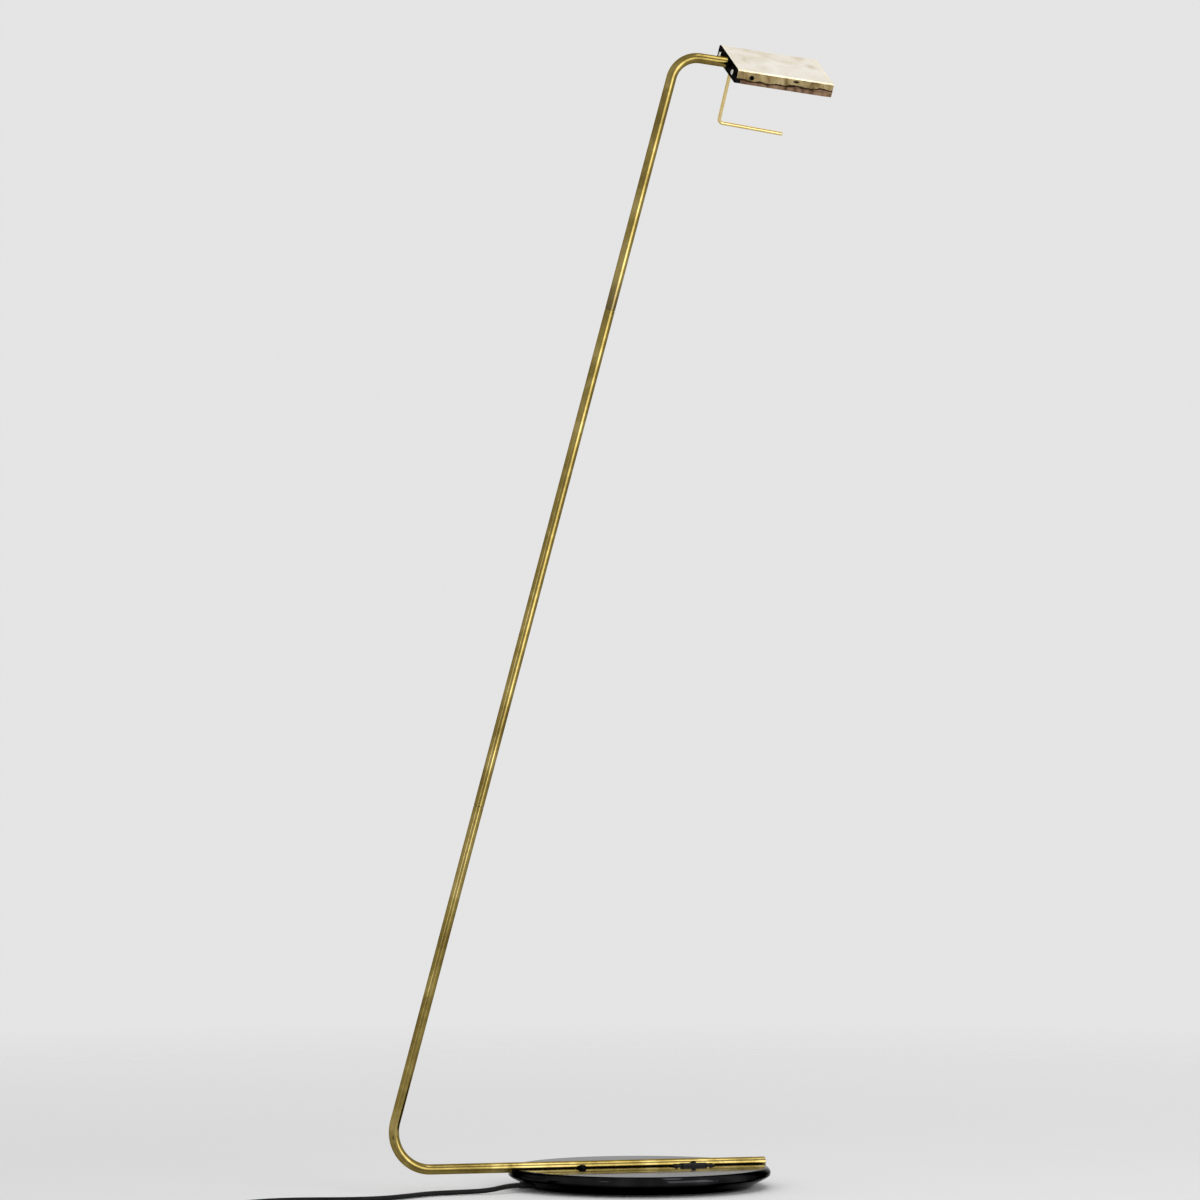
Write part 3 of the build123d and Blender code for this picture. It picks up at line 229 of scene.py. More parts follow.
def spread(tree, value, start, end, low, high):
    """Stretches a value from one range to another, and holds it there."""
    sockets = {"Value": value, "From Min": start, "From Max": end, "To Min": low, "To Max": high}
    return put(tree, "MapRange", sockets).outputs["Result"]


def sums(tree, operation, first, second):
    """One step of arithmetic."""
    return put(tree, "Math", {0: first, 1: second}, operation=operation).outputs[0]


def blended(tree, main, other, share):
    """Two patterns as one, with this share of the other."""
    rest = sums(tree, "MULTIPLY", main, 1 - share)
    return sums(tree, "ADD", rest, sums(tree, "MULTIPLY", other, share))


def dullness(tree, pattern, at_low, at_high):
    """A roughness that follows a cloud."""
    return spread(tree, pattern, CLOUD_LOW, CLOUD_HIGH, at_low, at_high)


print("a cloud counts from", CLOUD_LOW, "to", CLOUD_HIGH)

# %% Colours and bumps
def tones(tree, value, *stops):
    """Colours along a value."""
    ramp = put(tree, "ValToRGB", {"Fac": value})
    band = ramp.color_ramp.elements
    while len(band) < len(stops):
        band.new(0.5)
    for element, (position, colour) in zip(band, stops):
        element.position = position
        element.color = (*colour, 1)
    return ramp.outputs["Color"]


def mixed(tree, amount, first, second):
    """Goes from one colour to another."""
    if not isinstance(second, bpy.types.NodeSocket):
        second = (*second, 1)
    made = put(tree, "Mix", {0: amount, 6: first, 7: second}, data_type="RGBA")
    return made.outputs[2]


def relief(tree, height, depth):
    """Turns a value into small bumps of this depth in metres."""
    return put(tree, "Bump", {"Height": height, "Distance": depth}).outputs["Normal"]


print("helpers ready")

# %% [markdown]
# ## Aged brass of the tube
# The tube was once polished. Years of hands and air have turned it olive, with lighter rubbed
# patches, tiny dark specks, and a grey-brown stain that ends sharply at the higher joint. Cloud
# patterns of two sizes give the patches and specks, and the distance along the leaning stem finds
# the joint, so that the stain sits where it does on the real lamp.

# %% Where the stem is stained
STEM_CORNER_X = -0.288      # where the lines of foot and stem cross
STEM_LEAN = math.radians(15.3)
STEM_LONG = 1.255
HIGH_JOINT_SHARE = 0.769    # of the stem's length
STAIN_REACH = 0.040
STAIN_DEPTH = 1.4

foot_low, foot_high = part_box("tube_end_plug")
stem_start = Vector((STEM_CORNER_X, 0, (foot_low.z + foot_high.z) / 2))
stem_way = Vector((math.sin(STEM_LEAN), 0, math.cos(STEM_LEAN)))
stain_start = STEM_LONG * HIGH_JOINT_SHARE


def along_stem(tree, where):
    """The distance along the stem's line, in metres."""
    from_start = put(tree, "VectorMath", {0: where, 1: stem_start}, operation="SUBTRACT")
    sockets = {0: from_start.outputs[0], 1: stem_way}
    return put(tree, "VectorMath", sockets, operation="DOT_PRODUCT").outputs["Value"]


def stained(tree, where):
    """How stained a place is: most just over the joint, less further up, clean below."""
    above = sums(tree, "SUBTRACT", along_stem(tree, where), stain_start)
    fading = spread(tree, above, 0, STAIN_REACH, STAIN_DEPTH, 0)
    return sums(tree, "MULTIPLY", fading, sums(tree, "GREATER_THAN", above, 0))


print("the stain starts %.3f m up the stem" % stain_start)

# %% Brass of foot, stem and arm
PATCH_SIZE = 0.045
PATCH_BENT = 0.4
SPECK_SIZE = 0.0040
SPECK_SHARE = 0.1
SPECK_DEPTH = 0.000001
TUBE_TONES = ((0.36, (0.155, 0.112, 0.030)), (0.50, (0.255, 0.192, 0.055)),
              (0.63, (0.370, 0.290, 0.105)))
TUBE_DULL = 0.20
TUBE_BRIGHT = 0.08
STAIN_TONE = (0.100, 0.078, 0.052)
EDGE_TINT = (0.42, 0.33, 0.14, 1)       # old brass stays dark where it is seen from the side


def tube_brass():
    """Olive brass with patches, specks and a stain."""
    material, tree, shader = start_finish("aged tube brass")
    where = on_piece(tree)
    patches = clouds(tree, where, PATCH_SIZE, FULL, PATCH_BENT)
    specks = clouds(tree, where, SPECK_SIZE, SOFT)
    both = blended(tree, patches, specks, SPECK_SHARE)
    colour = tones(tree, both, *TUBE_TONES)
    stain = sums(tree, "MULTIPLY", stained(tree, where), patches)
    colour = mixed(tree, stain, colour, STAIN_TONE)
    shader.inputs["Metallic"].default_value = 1
    shader.inputs["Specular Tint"].default_value = EDGE_TINT
    feed(tree, shader, Base_Color=colour, Roughness=dullness(tree, both, TUBE_DULL, TUBE_BRIGHT),
         Normal=relief(tree, specks, SPECK_DEPTH))
    return material


finishes["tube_brass"] = tube_brass()
print("made", finishes["tube_brass"].name)

# %% [markdown]
# ## Brass of the head
# The head is folded from sheet. Its top has a pale painted sheen. Its side walls are a darker brown as painted
# shade, with random streaks, a painted shade line above the lower edge and a lip reddened by painted warm light,
# and the folds shine where they are rubbed. All of that hangs on where a spot lies on the slab, so a Mapping node
# turns the coordinates into the slab's own frame first: x along the arm, y across, z square to the top.

# %% The slab's own frame
SLAB_ROLL = math.radians(22.7)
SLAB_LONG = 0.1082
SLAB_HALF = 0.044           # half its width

head_roll = next(joint for joint in frame["joints"] if joint["name"] == "head_roll")
along = Vector(head_roll["axis"])
across = Matrix.Rotation(SLAB_ROLL, 3, along) @ Vector((0, 1, 0))
slab_turn = Matrix((along, across, along.cross(across))).transposed().to_euler()


def on_slab(tree):
    """The place on the head, in the slab's own frame."""
    sockets = {"Vector": on_piece(tree), "Location": head_roll["pos_m"], "Rotation": slab_turn}
    return put(tree, "Mapping", sockets, vector_type="TEXTURE").outputs[0]


def parts(tree, where):
    """The three numbers of a place."""
    return put(tree, "SeparateXYZ", {"Vector": where}).outputs


print("slab turned by", [round(math.degrees(angle), 1) for angle in slab_turn], "degrees")

# %% Spots and edges on the slab
def spot(tree, where, middle, stretch, inner, outer):
    """One where a place is near a middle, and zero from a little further out."""
    apart = put(tree, "VectorMath", {0: where, 1: middle}, operation="SUBTRACT").outputs[0]
    drawn = put(tree, "VectorMath", {0: apart, 1: stretch}, operation="MULTIPLY").outputs[0]
    far = put(tree, "VectorMath", {0: drawn}, operation="LENGTH").outputs["Value"]
    return spread(tree, far, inner, outer, 1, 0)


def from_edge(tree, x, y):
    """The distance from the nearest edge of the slab, seen from above."""
    from_side = sums(tree, "SUBTRACT", SLAB_HALF, sums(tree, "ABSOLUTE", y, 0))
    from_middle = sums(tree, "SUBTRACT", x, SLAB_LONG / 2)
    from_end = sums(tree, "SUBTRACT", SLAB_LONG / 2, sums(tree, "ABSOLUTE", from_middle, 0))
    return sums(tree, "MINIMUM", from_side, from_end)


print("slab of", SLAB_LONG, "by", 2 * SLAB_HALF, "m")

# %% Top with a painted sheen
# the top's pale tones are a painted sheen of the light that it mirrors
TOP_SHEEN_TONES = ((0.28, (0.530, 0.430, 0.280)), (0.42, (0.655, 0.595, 0.480)),
             (0.64, (0.700, 0.655, 0.565)))
SMUDGE_PLACE = Vector((0.096, 0.011, 0.0065))
SMUDGE_STRETCH = (1, 0.6, 1)
SMUDGE_INNER = 0.0005
SMUDGE_OUTER = 0.0075
SMUDGE_TONE = (0.380, 0.280, 0.150)


def sheen_top_with_smudge(tree, where, broad):
    """The top's colour: a pale painted sheen, with a brown smudge near the far end."""
    near = spot(tree, where, SMUDGE_PLACE, SMUDGE_STRETCH, SMUDGE_INNER, SMUDGE_OUTER)
    smudge = sums(tree, "MULTIPLY", near, broad)
    return mixed(tree, smudge, tones(tree, broad, *TOP_SHEEN_TONES), SMUDGE_TONE)


print("top in", len(TOP_SHEEN_TONES), "tones")

# %% The painted shade line along a wall
LIP_FROM = -0.0046          # height of the shadow gap between wall and lip
SHADE_LINE_START = 0.020           # where along the wall the painted shade line starts to climb
SHADE_LINE_RISE = 0.0026           # how far it has climbed at the far end
SHADE_LINE_WAVE = 0.010
WAVE_SIZE = 0.016


def over_shade_line(tree, where, x, z):
    """The height over the middle of the painted shade line, which climbs and wavers."""
    climb = spread(tree, x, SHADE_LINE_START, SLAB_LONG, LIP_FROM, LIP_FROM + SHADE_LINE_RISE)
    waver = sums(tree, "SUBTRACT", clouds(tree, where, WAVE_SIZE, SOFT), CLOUD_MIDDLE)
    swing = sums(tree, "MULTIPLY", waver, SHADE_LINE_WAVE)
    return sums(tree, "ADD", sums(tree, "SUBTRACT", z, climb), swing)


print("the run climbs", SHADE_LINE_RISE, "m")

# %% Walls with painted shade, stains and a lip of painted warm light
# the walls' darker brown is painted shade, with random streaks in it
WALL_SHADE_AND_STREAK_TONES = ((0.30, (0.080, 0.050, 0.022)), (0.41, (0.240, 0.172, 0.078)),
              (0.53, (0.370, 0.280, 0.132)), (0.66, (0.500, 0.405, 0.220)))
# the lip's redder tones are a painted warm glow of the lit head, over brass streaks
LIP_WARM_GLOW_TONES = ((0.38, (0.075, 0.036, 0.020)), (0.50, (0.190, 0.115, 0.068)),
             (0.62, (0.320, 0.205, 0.125)))
# a dark tone: painted shade for the line along the seam, and the colour of the real mark
SHADE_AND_STAIN_TONE = (0.030, 0.018, 0.010)
STREAK_SIZE = 0.012
STREAK_STRETCH = (1, 1, 0.45)
STREAK_BENT = 0.8
LIP_SOFT = 0.0001           # half the width of the change from wall to lip
SHADE_LINE_HALF = 0.0006           # half the width of the painted shade line
MARK_PLACE = Vector((0.067, -SLAB_HALF, 0.0024))
MARK_STRETCH = (0.45, 1, 1)
MARK_INNER = 0.0011
MARK_OUTER = 0.0019


def wall_with_shade_and_stains(tree, where, x, z):
    """The walls' colour: brown darker than the top as painted shade, with random streaks, a lip reddened by
    painted warm light, a painted shade line between them and one real mark.
    """
    drawn = put(tree, "Mapping", {"Vector": where, "Scale": STREAK_STRETCH}).outputs[0]
    streaks = clouds(tree, drawn, STREAK_SIZE, RICH, STREAK_BENT)
    over = over_shade_line(tree, where, x, z)
    on_lip = spread(tree, z, LIP_FROM - LIP_SOFT, LIP_FROM + LIP_SOFT, 1, 0)
    below = sums(tree, "MAXIMUM", on_lip, spread(tree, over, 0, SHADE_LINE_HALF, 1, 0))
    wall = mixed(tree, below, tones(tree, streaks, *WALL_SHADE_AND_STREAK_TONES), tones(tree, streaks, *LIP_WARM_GLOW_TONES))
    beside = sums(tree, "ABSOLUTE", over, 0)
    # painted shade along the seam over the lip
    wall = mixed(tree, spread(tree, beside, SHADE_LINE_HALF, 2 * SHADE_LINE_HALF, 1, 0), wall, SHADE_AND_STAIN_TONE)
    mark = spot(tree, where, MARK_PLACE, MARK_STRETCH, MARK_INNER, MARK_OUTER)
    return mixed(tree, mark, wall, SHADE_AND_STAIN_TONE)


print("walls in", len(WALL_SHADE_AND_STREAK_TONES), "tones, lip in", len(LIP_WARM_GLOW_TONES))

# %% Brass of cover and lower frame
BROAD_SIZE = 0.030
BROAD_BENT = 0.6
FINE_SIZE = 0.0035
FINE_DEPTH = 0.00004
WALL_TO = 0.0050            # height where the walls' colour starts to give way to the top's
TOP_FROM = 0.0060
RUB_FULL = 0.0004           # distance from an edge that is rubbed bright, and where that ends
RUB_END = 0.0030
RUB_PATCHES = (0.42, 0.58, 0.2, 0.6)    # a range of the fine cloud, and how rubbed at its ends
RUB_TONE = (0.860, 0.740, 0.500)
HEAD_DULL = 0.42
HEAD_BRIGHT = 0.26


def head_brass():
    """Painted sheen on the pale top, painted shade on the brown walls, and rubbed folds."""
    material, tree, shader = start_finish("head brass with painted sheen and shade")
    where = on_slab(tree)
    x, y, z = parts(tree, where)
    broad = clouds(tree, where, BROAD_SIZE, FULL, BROAD_BENT)
    fine = clouds(tree, where, FINE_SIZE, FULL)
    on_wall = spread(tree, z, WALL_TO, TOP_FROM, 1, 0)
    on_top = sums(tree, "SUBTRACT", 1, on_wall)
    # one brass, painted pale on top as sheen and darker on the walls as shade
    colour = mixed(tree, on_wall, sheen_top_with_smudge(tree, where, broad), wall_with_shade_and_stains(tree, where, x, z))
    edge = spread(tree, from_edge(tree, x, y), RUB_FULL, RUB_END, 1, 0)
    rubbed = sums(tree, "MULTIPLY", edge, spread(tree, fine, *RUB_PATCHES))
    colour = mixed(tree, sums(tree, "MULTIPLY", rubbed, on_top), colour, RUB_TONE)
    shader.inputs["Metallic"].default_value = 1
    feed(tree, shader, Base_Color=colour, Roughness=dullness(tree, broad, HEAD_DULL, HEAD_BRIGHT),
         Normal=relief(tree, fine, FINE_DEPTH))
    return material


finishes["head_brass"] = head_brass()
print("made", finishes["head_brass"].name)

# %% [markdown]
# ## Other metals
# The rest of the metal differs only in tone, size of the mottling, roughness and depth of grain:
# the wand is bright from handling, the couplers have gone dark in their grooves, screws are plain
# or bright steel, the spreader is raw aluminium. Each could have a tree of its own, but one
# function with those few numbers makes them all.

# %% Wand, couplers, screws, pins and spreader
SPOT_BENT = 0.3
GRAINS_A_SPOT = 12
GRAIN_SHARE = 0.3
METAL_DARK = 0.38           # the pattern's values that take the dark and the light tone
METAL_LIGHT = 0.62


def mottled_metal(name, dark, light, size, rough, depth):
    """A metal with soft spots of two tones, each with its own roughness."""
    material, tree, shader = start_finish(name)
    where = on_piece(tree)
    spots = clouds(tree, where, size, RICH, SPOT_BENT)
    grain = clouds(tree, where, size / GRAINS_A_SPOT, PLAIN)
    both = blended(tree, spots, grain, GRAIN_SHARE)
    shader.inputs["Metallic"].default_value = 1
    feed(tree, shader, Base_Color=tones(tree, both, (METAL_DARK, dark), (METAL_LIGHT, light)),
         Roughness=dullness(tree, both, *rough), Normal=relief(tree, grain, depth))
    return material


metals = {
    "wand_brass": dict(dark=(0.64, 0.48, 0.19), light=(0.83, 0.66, 0.32), size=0.060,
                       rough=(0.18, 0.10), depth=0.000001),
    "coupler_brass": dict(dark=(0.070, 0.048, 0.018), light=(0.180, 0.130, 0.045), size=0.004,
                          rough=(0.40, 0.25), depth=0.00001),
    "screw_steel": dict(dark=(0.36, 0.36, 0.37), light=(0.62, 0.62, 0.63), size=0.006,
                        rough=(0.42, 0.28), depth=0.00002),
    "bright_steel": dict(dark=(0.62, 0.59, 0.53), light=(0.84, 0.81, 0.74), size=0.004,
                         rough=(0.28, 0.14), depth=0.00002),
    "pin_metal": dict(dark=(0.60, 0.58, 0.52), light=(0.80, 0.78, 0.72), size=0.006,
                      rough=(0.24, 0.12), depth=0.00001),
    "spreader_aluminium": dict(dark=(0.58, 0.58, 0.59), light=(0.76, 0.76, 0.77), size=0.010,
                               rough=(0.48, 0.34), depth=0.00003),
}
for slot, numbers in metals.items():
    finishes[slot] = mottled_metal(slot.replace("_", " "), **numbers)
print("metals:", ", ".join(metals))

# %% [markdown]
# ## Black and pale coatings
# The disc is lacquered to a mirror, the caps are satin black, the plastic and rubber are duller.
# Black is never quite even: dust, fingermarks and a fine orange-peel in the lacquer show in its
# gloss rather than in its colour. So the colour moves only a little and the roughness a lot.
# Disc and caps could have a clear lacquer too, but that would mirror the pale room too strongly,
# so they are made as blackened metal, whose mirror can be dimmed.

# %% Lacquer, paint, plastic and rubber
SMEAR_BENT = 0.8
COAT_DARK = 0.36            # the pattern's values that take the dark and the light tone
COAT_LIGHT = 0.64
BLACK_EDGE = (0.36, 0.36, 0.36, 1)      # keeps blackened metal's mirror weak from the side


def coated(name, dark, light, size, rough, grain, depth, bend=None):
    """A coating with smears and a fine grain, as a skin that bends light or as blackened metal."""
    material, tree, shader = start_finish(name)
    if bend is None:
        shader.inputs["Metallic"].default_value = 1
        shader.inputs["Specular Tint"].default_value = BLACK_EDGE
    else:
        shader.inputs["IOR"].default_value = bend
    where = on_piece(tree)
    smears = clouds(tree, where, size, RICH, SMEAR_BENT)
    fine = clouds(tree, where, grain, SOFT)
    feed(tree, shader, Base_Color=tones(tree, smears, (COAT_DARK, dark), (COAT_LIGHT, light)),
         Roughness=dullness(tree, smears, *rough), Normal=relief(tree, fine, depth))
    return material


coatings = {
    "base_black": dict(dark=(0.010, 0.010, 0.011), light=(0.022, 0.022, 0.023), size=0.050,
                       rough=(0.04, 0.10), grain=0.0030, depth=0.000003),
    "black_metal": dict(dark=(0.003, 0.003, 0.003), light=(0.009, 0.008, 0.008), size=0.012,
                        rough=(0.30, 0.46), grain=0.0006, depth=0.00002),
    "black_plastic": dict(dark=(0.004, 0.004, 0.004), light=(0.010, 0.010, 0.010), size=0.010,
                          rough=(0.14, 0.26), grain=0.0007, depth=0.00002, bend=1.24),
    "cord_rubber": dict(dark=(0.005, 0.005, 0.005), light=(0.012, 0.012, 0.012), size=0.016,
                        rough=(0.40, 0.56), grain=0.0008, depth=0.00004, bend=1.18),
    "pad_rubber": dict(dark=(0.018, 0.018, 0.018), light=(0.045, 0.044, 0.042), size=0.020,
                       rough=(0.70, 0.90), grain=0.0012, depth=0.00015, bend=1.40),
    "cover_steel": dict(dark=(0.022, 0.022, 0.022), light=(0.050, 0.050, 0.050), size=0.018,
                        rough=(0.50, 0.66), grain=0.0009, depth=0.00004, bend=1.40),
    "works_plastic": dict(dark=(0.640, 0.640, 0.610), light=(0.800, 0.800, 0.770), size=0.012,
                          rough=(0.42, 0.58), grain=0.0009, depth=0.00004, bend=1.45),
    "chip_plastic": dict(dark=(0.800, 0.600, 0.180), light=(0.940, 0.780, 0.330), size=0.002,
                         rough=(0.40, 0.55), grain=0.0005, depth=0.00002, bend=1.45),
}
for slot, numbers in coatings.items():
    finishes[slot] = coated(slot.replace("_", " "), **numbers)
print("coatings:", ", ".join(coatings))

# %% [markdown]
# ## The lit diffuser
# An opal plate closes the head from below. It glows warm, brightest over the grid of light chips
# and weaker at its rim. A lamp object could shine there instead, but then the plate itself would
# stay dark, so the plate's own shader gives the light.

# %% Opal plate
GLOW_WARM = (1.0, 0.62, 0.26, 1)
GLOW_HIGH = 0.5
GLOW_LOW = 0.2
GLOW_GRAIN = (0.3, 0.7, 0.95, 1.05)     # a range of the fine cloud, and the glow at its ends
RIM_FROM = 0.004            # distance from the slab's edge where the glow starts to rise
RIM_TO = 0.024
PLATE_LOW = -0.0083         # height of the plate's lower face, which is the only one that glows
GLOW_FULL = 0.0003          # height over that face up to which it glows, and where that ends
GLOW_NONE = 0.0006
OPAL_GRAIN = 0.0015
OPAL_TONES = ((0.35, (0.58, 0.52, 0.42)), (0.65, (0.70, 0.64, 0.54)))
OPAL_BRIGHT = 0.38
OPAL_DULL = 0.52


def opal_plastic():
    """A pale plate whose lower face glows."""
    material, tree, shader = start_finish("opal plastic")
    where = on_slab(tree)
    x, y, z = parts(tree, where)
    fine = clouds(tree, where, OPAL_GRAIN, SOFT)
    glow = sums(tree, "MULTIPLY",
                spread(tree, from_edge(tree, x, y), RIM_FROM, RIM_TO, GLOW_LOW, GLOW_HIGH),
                spread(tree, fine, *GLOW_GRAIN))
    on_face = spread(tree, z, PLATE_LOW + GLOW_FULL, PLATE_LOW + GLOW_NONE, 1, 0)
    shader.inputs["Emission Color"].default_value = GLOW_WARM
    feed(tree, shader, Base_Color=tones(tree, fine, *OPAL_TONES),
         Emission_Strength=sums(tree, "MULTIPLY", glow, on_face),
         Roughness=dullness(tree, fine, OPAL_BRIGHT, OPAL_DULL))
    return material


finishes["opal_plastic"] = opal_plastic()
print("finishes:", len(finishes))

# %% [markdown]
# ## Finishes on the solids
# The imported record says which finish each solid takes, so one loop dresses them all. The cord,
# which is new, takes the same rubber as the solids that it stands for.

# %% Dress the solids and hang the cord on the stand
for row in frame["record"]["subparts"]:
    dressed = nodes[row["node"]].data.materials
    dressed.clear()
    dressed.append(finishes[row["material_slot"]])

cord_data.materials.append(finishes["cord_rubber"])
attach(cord, "stand")
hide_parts("mains_cord", "cord_coil")
print("dressed", len(nodes), "solids")

# %% [markdown]
# ## Moulded ribs by Geometry Nodes
# Rubber reliefs are moulded with rings so that they bend evenly, a plug has bars for the fingers,
# and the dimmer's small knob has ridges round it. All three are one shape set out many times.
# Copies could be placed by hand, but a node tree keeps their number and size as inputs that can
# be changed at any time. The result is turned into a plain mesh in the end.

# %% Begin and end a tree
def new_tree(name, counts, sizes):
    """An empty tree with a named input for each count and size, and one for the finish."""
    tree = bpy.data.node_groups.new(name, "GeometryNodeTree")
    tree.interface.new_socket("Geometry", in_out="OUTPUT", socket_type="NodeSocketGeometry")
    for label in counts:
        tree.interface.new_socket(label, in_out="INPUT", socket_type="NodeSocketInt")
    for label in sizes:
        tree.interface.new_socket(label, in_out="INPUT", socket_type="NodeSocketFloat")
    tree.interface.new_socket("Finish", in_out="INPUT", socket_type="NodeSocketMaterial")
    return tree, tree.nodes.new("NodeGroupInput").outputs


def step(tree, kind, sockets, **settings):
    """Adds a node and gives back what it makes."""
    return add_node(tree, kind, sockets, **settings).outputs[0]


def end_tree(tree, instances, finish):
    """Ends a tree: real faces, then their material."""
    real = step(tree, "GeometryNodeRealizeInstances", {"Geometry": instances})
    dressed = step(tree, "GeometryNodeSetMaterial", {"Geometry": real, "Material": finish})
    tree.links.new(dressed, tree.nodes.new("NodeGroupOutput").inputs[0])


print("trees can be built")

# %% Run a tree
def grow(name, tree, sizes, slot, body, place):
    """Runs a tree, keeps its result as a plain mesh in place, and hangs it on a body."""
    piece = bpy.data.objects.new(name, bpy.data.meshes.new(name))
    scene.collection.objects.link(piece)
    modifier = piece.modifiers.new("grow", "NODES")
    modifier.node_group = tree
    given = dict(sizes, Finish=finishes[slot])
    for socket in tree.interface.items_tree:
        if socket.in_out == "INPUT":
            modifier[socket.identifier] = given[socket.name]
    done = piece.evaluated_get(bpy.context.evaluated_depsgraph_get())
    mesh = bpy.data.meshes.new_from_object(done)
    piece.modifiers.clear()
    piece.data = mesh
    mesh.transform(place)
    mesh.shade_smooth()
    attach(piece, body)
    print(name, "has", len(mesh.polygons), "faces")
    return piece


def standing(place, way):
    """A frame whose z goes along a direction, with its x upwards."""
    up = Vector((0, 0, 1))
    columns = Matrix((up, way.cross(up), way)).transposed()
    return Matrix.Translation(place) @ columns.to_4x4()


print("trees can be run")

# %% [markdown]
# ### Rings on the reliefs
# A ring is a circle swept with a small round section. Points in a line carry one ring each, and a
# ring's scale changes with its number, so that the row follows the taper of the rubber under it.

# %% Tree of rings
RING_SIDES = 40
SECTION_SIDES = 10


def ring_tree():
    """Rings along a line, from one radius to another."""
    tree, given = new_tree("rings on a taper", ["Rings"],
                           ["Spacing", "First radius", "Last radius", "Bulge"])
    offset = step(tree, "ShaderNodeCombineXYZ", {"Z": given["Spacing"]})
    line = step(tree, "GeometryNodeMeshLine", {"Count": given["Rings"], "Offset": offset})
    bulge = step(tree, "ShaderNodeMath", {0: given["Bulge"], 1: given["First radius"]},
                 operation="DIVIDE")
    circle = step(tree, "GeometryNodeCurvePrimitiveCircle",
                  {"Resolution": RING_SIDES, "Radius": 1.0})
    section = step(tree, "GeometryNodeCurvePrimitiveCircle",
                   {"Resolution": SECTION_SIDES, "Radius": bulge})
    ring = step(tree, "GeometryNodeCurveToMesh", {"Curve": circle, "Profile Curve": section})
    number = step(tree, "GeometryNodeInputIndex", {})
    last = step(tree, "ShaderNodeMath", {0: given["Rings"], 1: 1.0}, operation="SUBTRACT")
    size = step(tree, "ShaderNodeMapRange",
                {"Value": number, "From Max": last, "To Min": given["First radius"],
                 "To Max": given["Last radius"]})
    rings = step(tree, "GeometryNodeInstanceOnPoints",
                 {"Points": line, "Instance": ring, "Scale": size})
    end_tree(tree, rings, given["Finish"])
    return tree


taper_rings = ring_tree()
print("made the tree of", taper_rings.name)

# %% Rings of cord relief and plug relief
RELIEF_TURN = math.radians(12)          # away from the foot's line, towards the near side
RELIEF_HIGH = 0.0073
RELIEF_START = 0.1352                   # first ring, from the disc's middle
PLUG_WAY = Vector((0.99975, -0.0223, 0))
PLUG_RELIEF_START = 0.0030              # first ring, from the end of the cord

relief_way = Vector((-math.cos(RELIEF_TURN), -math.sin(RELIEF_TURN), 0))
relief_rings = {"Rings": 4, "Spacing": 0.0026, "First radius": 0.00378, "Last radius": 0.00355,
                "Bulge": 0.0003}
grow("relief_rings", taper_rings, relief_rings, "cord_rubber", "stand",
     standing(relief_way * RELIEF_START + Vector((0, 0, RELIEF_HIGH)), relief_way))
plug_rings = {"Rings": 6, "Spacing": 0.0030, "First radius": 0.0040, "Last radius": 0.0057,
              "Bulge": 0.0005}
plug_relief = grow("plug_relief_rings", taper_rings, plug_rings, "black_plastic", "stand",
                   standing(Vector(PLUG_START) + PLUG_WAY * PLUG_RELIEF_START, PLUG_WAY))

# %% [markdown]
# ### Bars on the plug
# Half-sunk round bars across the plug's top give the fingers a grip. A line of points carries one
# bar each. The bars lie across the line, so the bar is turned once, before it is set out.

# %% Tree of bars
BAR_SIDES = 12
LYING = Euler((math.radians(90), 0, 0))


def bar_tree():
    """Lying bars along a line."""
    tree, given = new_tree("bars across a grip", ["Bars"],
                           ["Spacing", "Bar length", "Bar radius"])
    offset = step(tree, "ShaderNodeCombineXYZ", {"Z": given["Spacing"]})
    line = step(tree, "GeometryNodeMeshLine", {"Count": given["Bars"], "Offset": offset})
    bar = step(tree, "GeometryNodeMeshCylinder",
               {"Vertices": BAR_SIDES, "Radius": given["Bar radius"],
                "Depth": given["Bar length"]})
    lying = step(tree, "GeometryNodeTransform", {"Geometry": bar, "Rotation": LYING})
    bars = step(tree, "GeometryNodeInstanceOnPoints", {"Points": line, "Instance": lying})
    end_tree(tree, bars, given["Finish"])
    return tree


PLUG_HALF = 0.0085          # half the plug's height
GRIP_START = 0.0310         # first bar, from the end of the cord

grip_start = Vector(PLUG_START) + PLUG_WAY * GRIP_START + Vector((0, 0, PLUG_HALF))
grip = {"Bars": 6, "Spacing": 0.0032, "Bar length": 0.0170, "Bar radius": 0.0007}
plug_grip = grow("plug_grip_bars", bar_tree(), grip, "black_plastic", "stand",
                 standing(grip_start, PLUG_WAY))

# %% [markdown]
# ### What the cord carries
# The coil's tie, the plug and the plug's new ribs belong to the cord and not to the lamp, so
# they are gathered in one list.

on_cord = [nodes[name] for name in ("plug_body", "plug_pins", "cord_tie")]
on_cord += [plug_relief, plug_grip]
print("the cord carries", len(on_cord), "pieces")

# %% [markdown]
# ### Ridges on the knob
# The dimmer's knob is hardly five millimetres wide, and ridges round its side let a fingertip
# push it. A circle of points carries one upright ridge each. They ride on the sliding body.

# %% Tree of ridges
RIDGE_SIDES = 8


def ridge_tree():
    """Upright ridges round a circle."""
    tree, given = new_tree("ridges round a knob", ["Ridges"],
                           ["Knob radius", "Ridge radius", "Ridge height"])
    circle = step(tree, "GeometryNodeMeshCircle",
                  {"Vertices": given["Ridges"], "Radius": given["Knob radius"]})
    ridge = step(tree, "GeometryNodeMeshCylinder",
                 {"Vertices": RIDGE_SIDES, "Radius": given["Ridge radius"],
                  "Depth": given["Ridge height"]})
    ridges = step(tree, "GeometryNodeInstanceOnPoints", {"Points": circle, "Instance": ridge})
    end_tree(tree, ridges, given["Finish"])
    return tree


RIDGE_DROP = 0.00145        # from the knob's top to the middle of the ridges

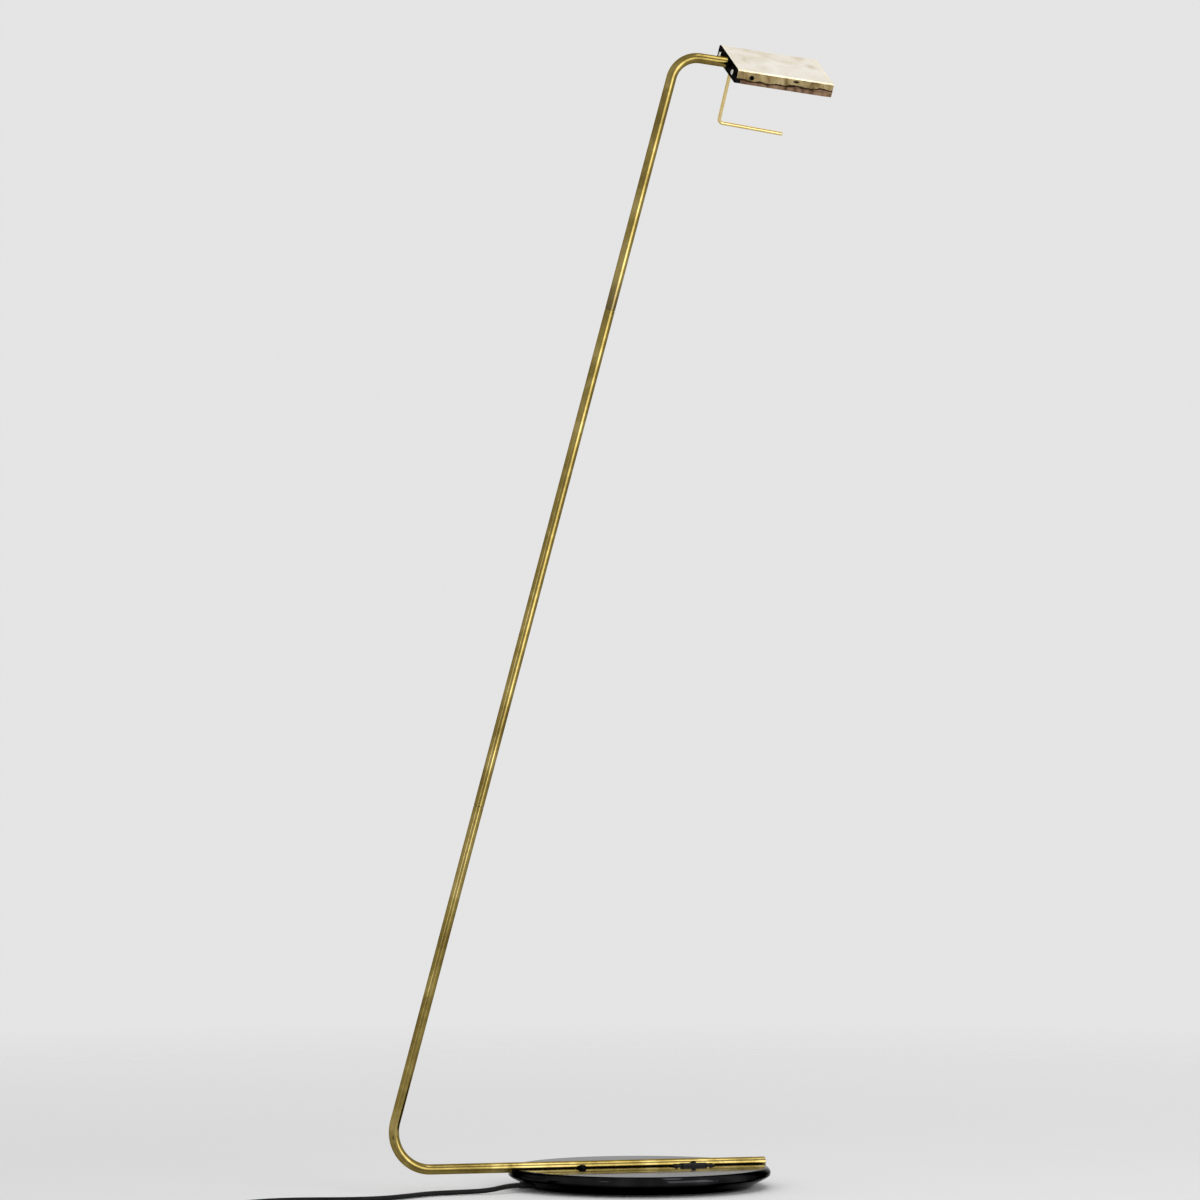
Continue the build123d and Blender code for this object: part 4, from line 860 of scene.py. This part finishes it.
knob_low, knob_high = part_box("dimmer_slider")
knob_middle = (knob_low + knob_high) / 2
knob_middle.z = knob_high.z - RIDGE_DROP
knob = {"Ridges": 22, "Knob radius": 0.0024, "Ridge radius": 0.00017, "Ridge height": 0.0010}
grow("knob_ridges", ridge_tree(), knob, "black_plastic", "dimmer",
     Matrix.Translation(knob_middle))

# %% [markdown]
# ## Floor and background
# The lamp stands on a plain pale floor that has no end: a wide disc whose material goes clear
# towards its rim, in front of a background of the same tone. A wall could close the view, but it
# would stand in the way when the camera goes round to the back.

# %% Floor disc
FLOOR_RADIUS = 5.0
FLOOR_SIDES = 96
FLOOR_UNDER = 0.0004        # how far it lies under the lamp

floor_mesh = bpy.data.meshes.new("studio_floor")
turns = [2 * math.pi * side / FLOOR_SIDES for side in range(FLOOR_SIDES)]
rim = [(FLOOR_RADIUS * math.cos(turn), FLOOR_RADIUS * math.sin(turn), -FLOOR_UNDER)
       for turn in turns]
floor_mesh.from_pydata(rim, [], [list(range(FLOOR_SIDES))])
floor = bpy.data.objects.new("studio_floor", floor_mesh)
scene.collection.objects.link(floor)
print("floor out to", FLOOR_RADIUS, "m")

# %% Pale floor finish
FLOOR_TONE = 0.74
FLOOR_DULL = 0.7
FADE_FROM = 0.7             # metres from the middle
FADE_TO = 2.8

floor_finish, tree, shader = start_finish("pale floor")
away = put(tree, "VectorMath", {0: on_piece(tree)}, operation="LENGTH").outputs["Value"]
feed(tree, shader, Alpha=spread(tree, away, FADE_FROM, FADE_TO, 1, 0))
shader.inputs["Base Color"].default_value = (FLOOR_TONE, FLOOR_TONE, FLOOR_TONE, 1)
shader.inputs["Roughness"].default_value = FLOOR_DULL
floor_mesh.materials.append(floor_finish)
print("floor fades from", FADE_FROM, "to", FADE_TO, "m")

# %% [markdown]
# ## Light
# Brass shows its shape by what it mirrors. A large soft panel at the front right draws the bright
# line along the stem, a narrow one at the left a thinner line beside it, a strip overhead does
# the same for the foot and the arm, and a faint panel behind gives the head's top its pale sheen.
# The world is one pale tone all round. It is the background, it is what the metal mirrors, and it
# fills the shadows.

# %% World
BACK_TONE = 0.78

world = bpy.data.worlds.new("studio_world")
scene.world = world
world.use_nodes = True
background = world.node_tree.nodes["Background"].inputs
background["Color"].default_value = (BACK_TONE, BACK_TONE, BACK_TONE, 1)
scene.view_settings.view_transform = "Standard"
print("background tone", BACK_TONE)

# %% Panels
def panel(name, place, aim, width, height, glow):
    """A soft light panel of this brightness that faces a point and isn't seen itself."""
    data = bpy.data.lights.new(name, "AREA")
    data.shape = "RECTANGLE"
    data.size = width
    data.size_y = height
    data.energy = glow * math.pi * width * height
    light = bpy.data.objects.new(name, data)
    light.location = place
    light.rotation_euler = (Vector(aim) - Vector(place)).to_track_quat("-Z", "Y").to_euler()
    light.visible_camera = False
    scene.collection.objects.link(light)


panels = {
    "right_panel": dict(place=(1.68, -3.12, 1.10), aim=(-0.12, 0, 0.9),
                        width=2.5, height=2.1, glow=3.0),
    "back_panel": dict(place=(1.2, 2.2, 2.9), aim=(0.15, 0, 1.2),
                       width=2.0, height=2.0, glow=0.38),
    "top_panel": dict(place=(0.76, -0.6, 2.9), aim=(0.76, -0.6, 0),
                      width=0.5, height=1.8, glow=3.2),
    "left_panel": dict(place=(-1.97, -1.82, 1.05), aim=(-0.2, 0, 0.3),
                       width=0.35, height=0.9, glow=2.6),
}
for name, facts in panels.items():
    panel(name, **facts)
print("panels:", ", ".join(panels))
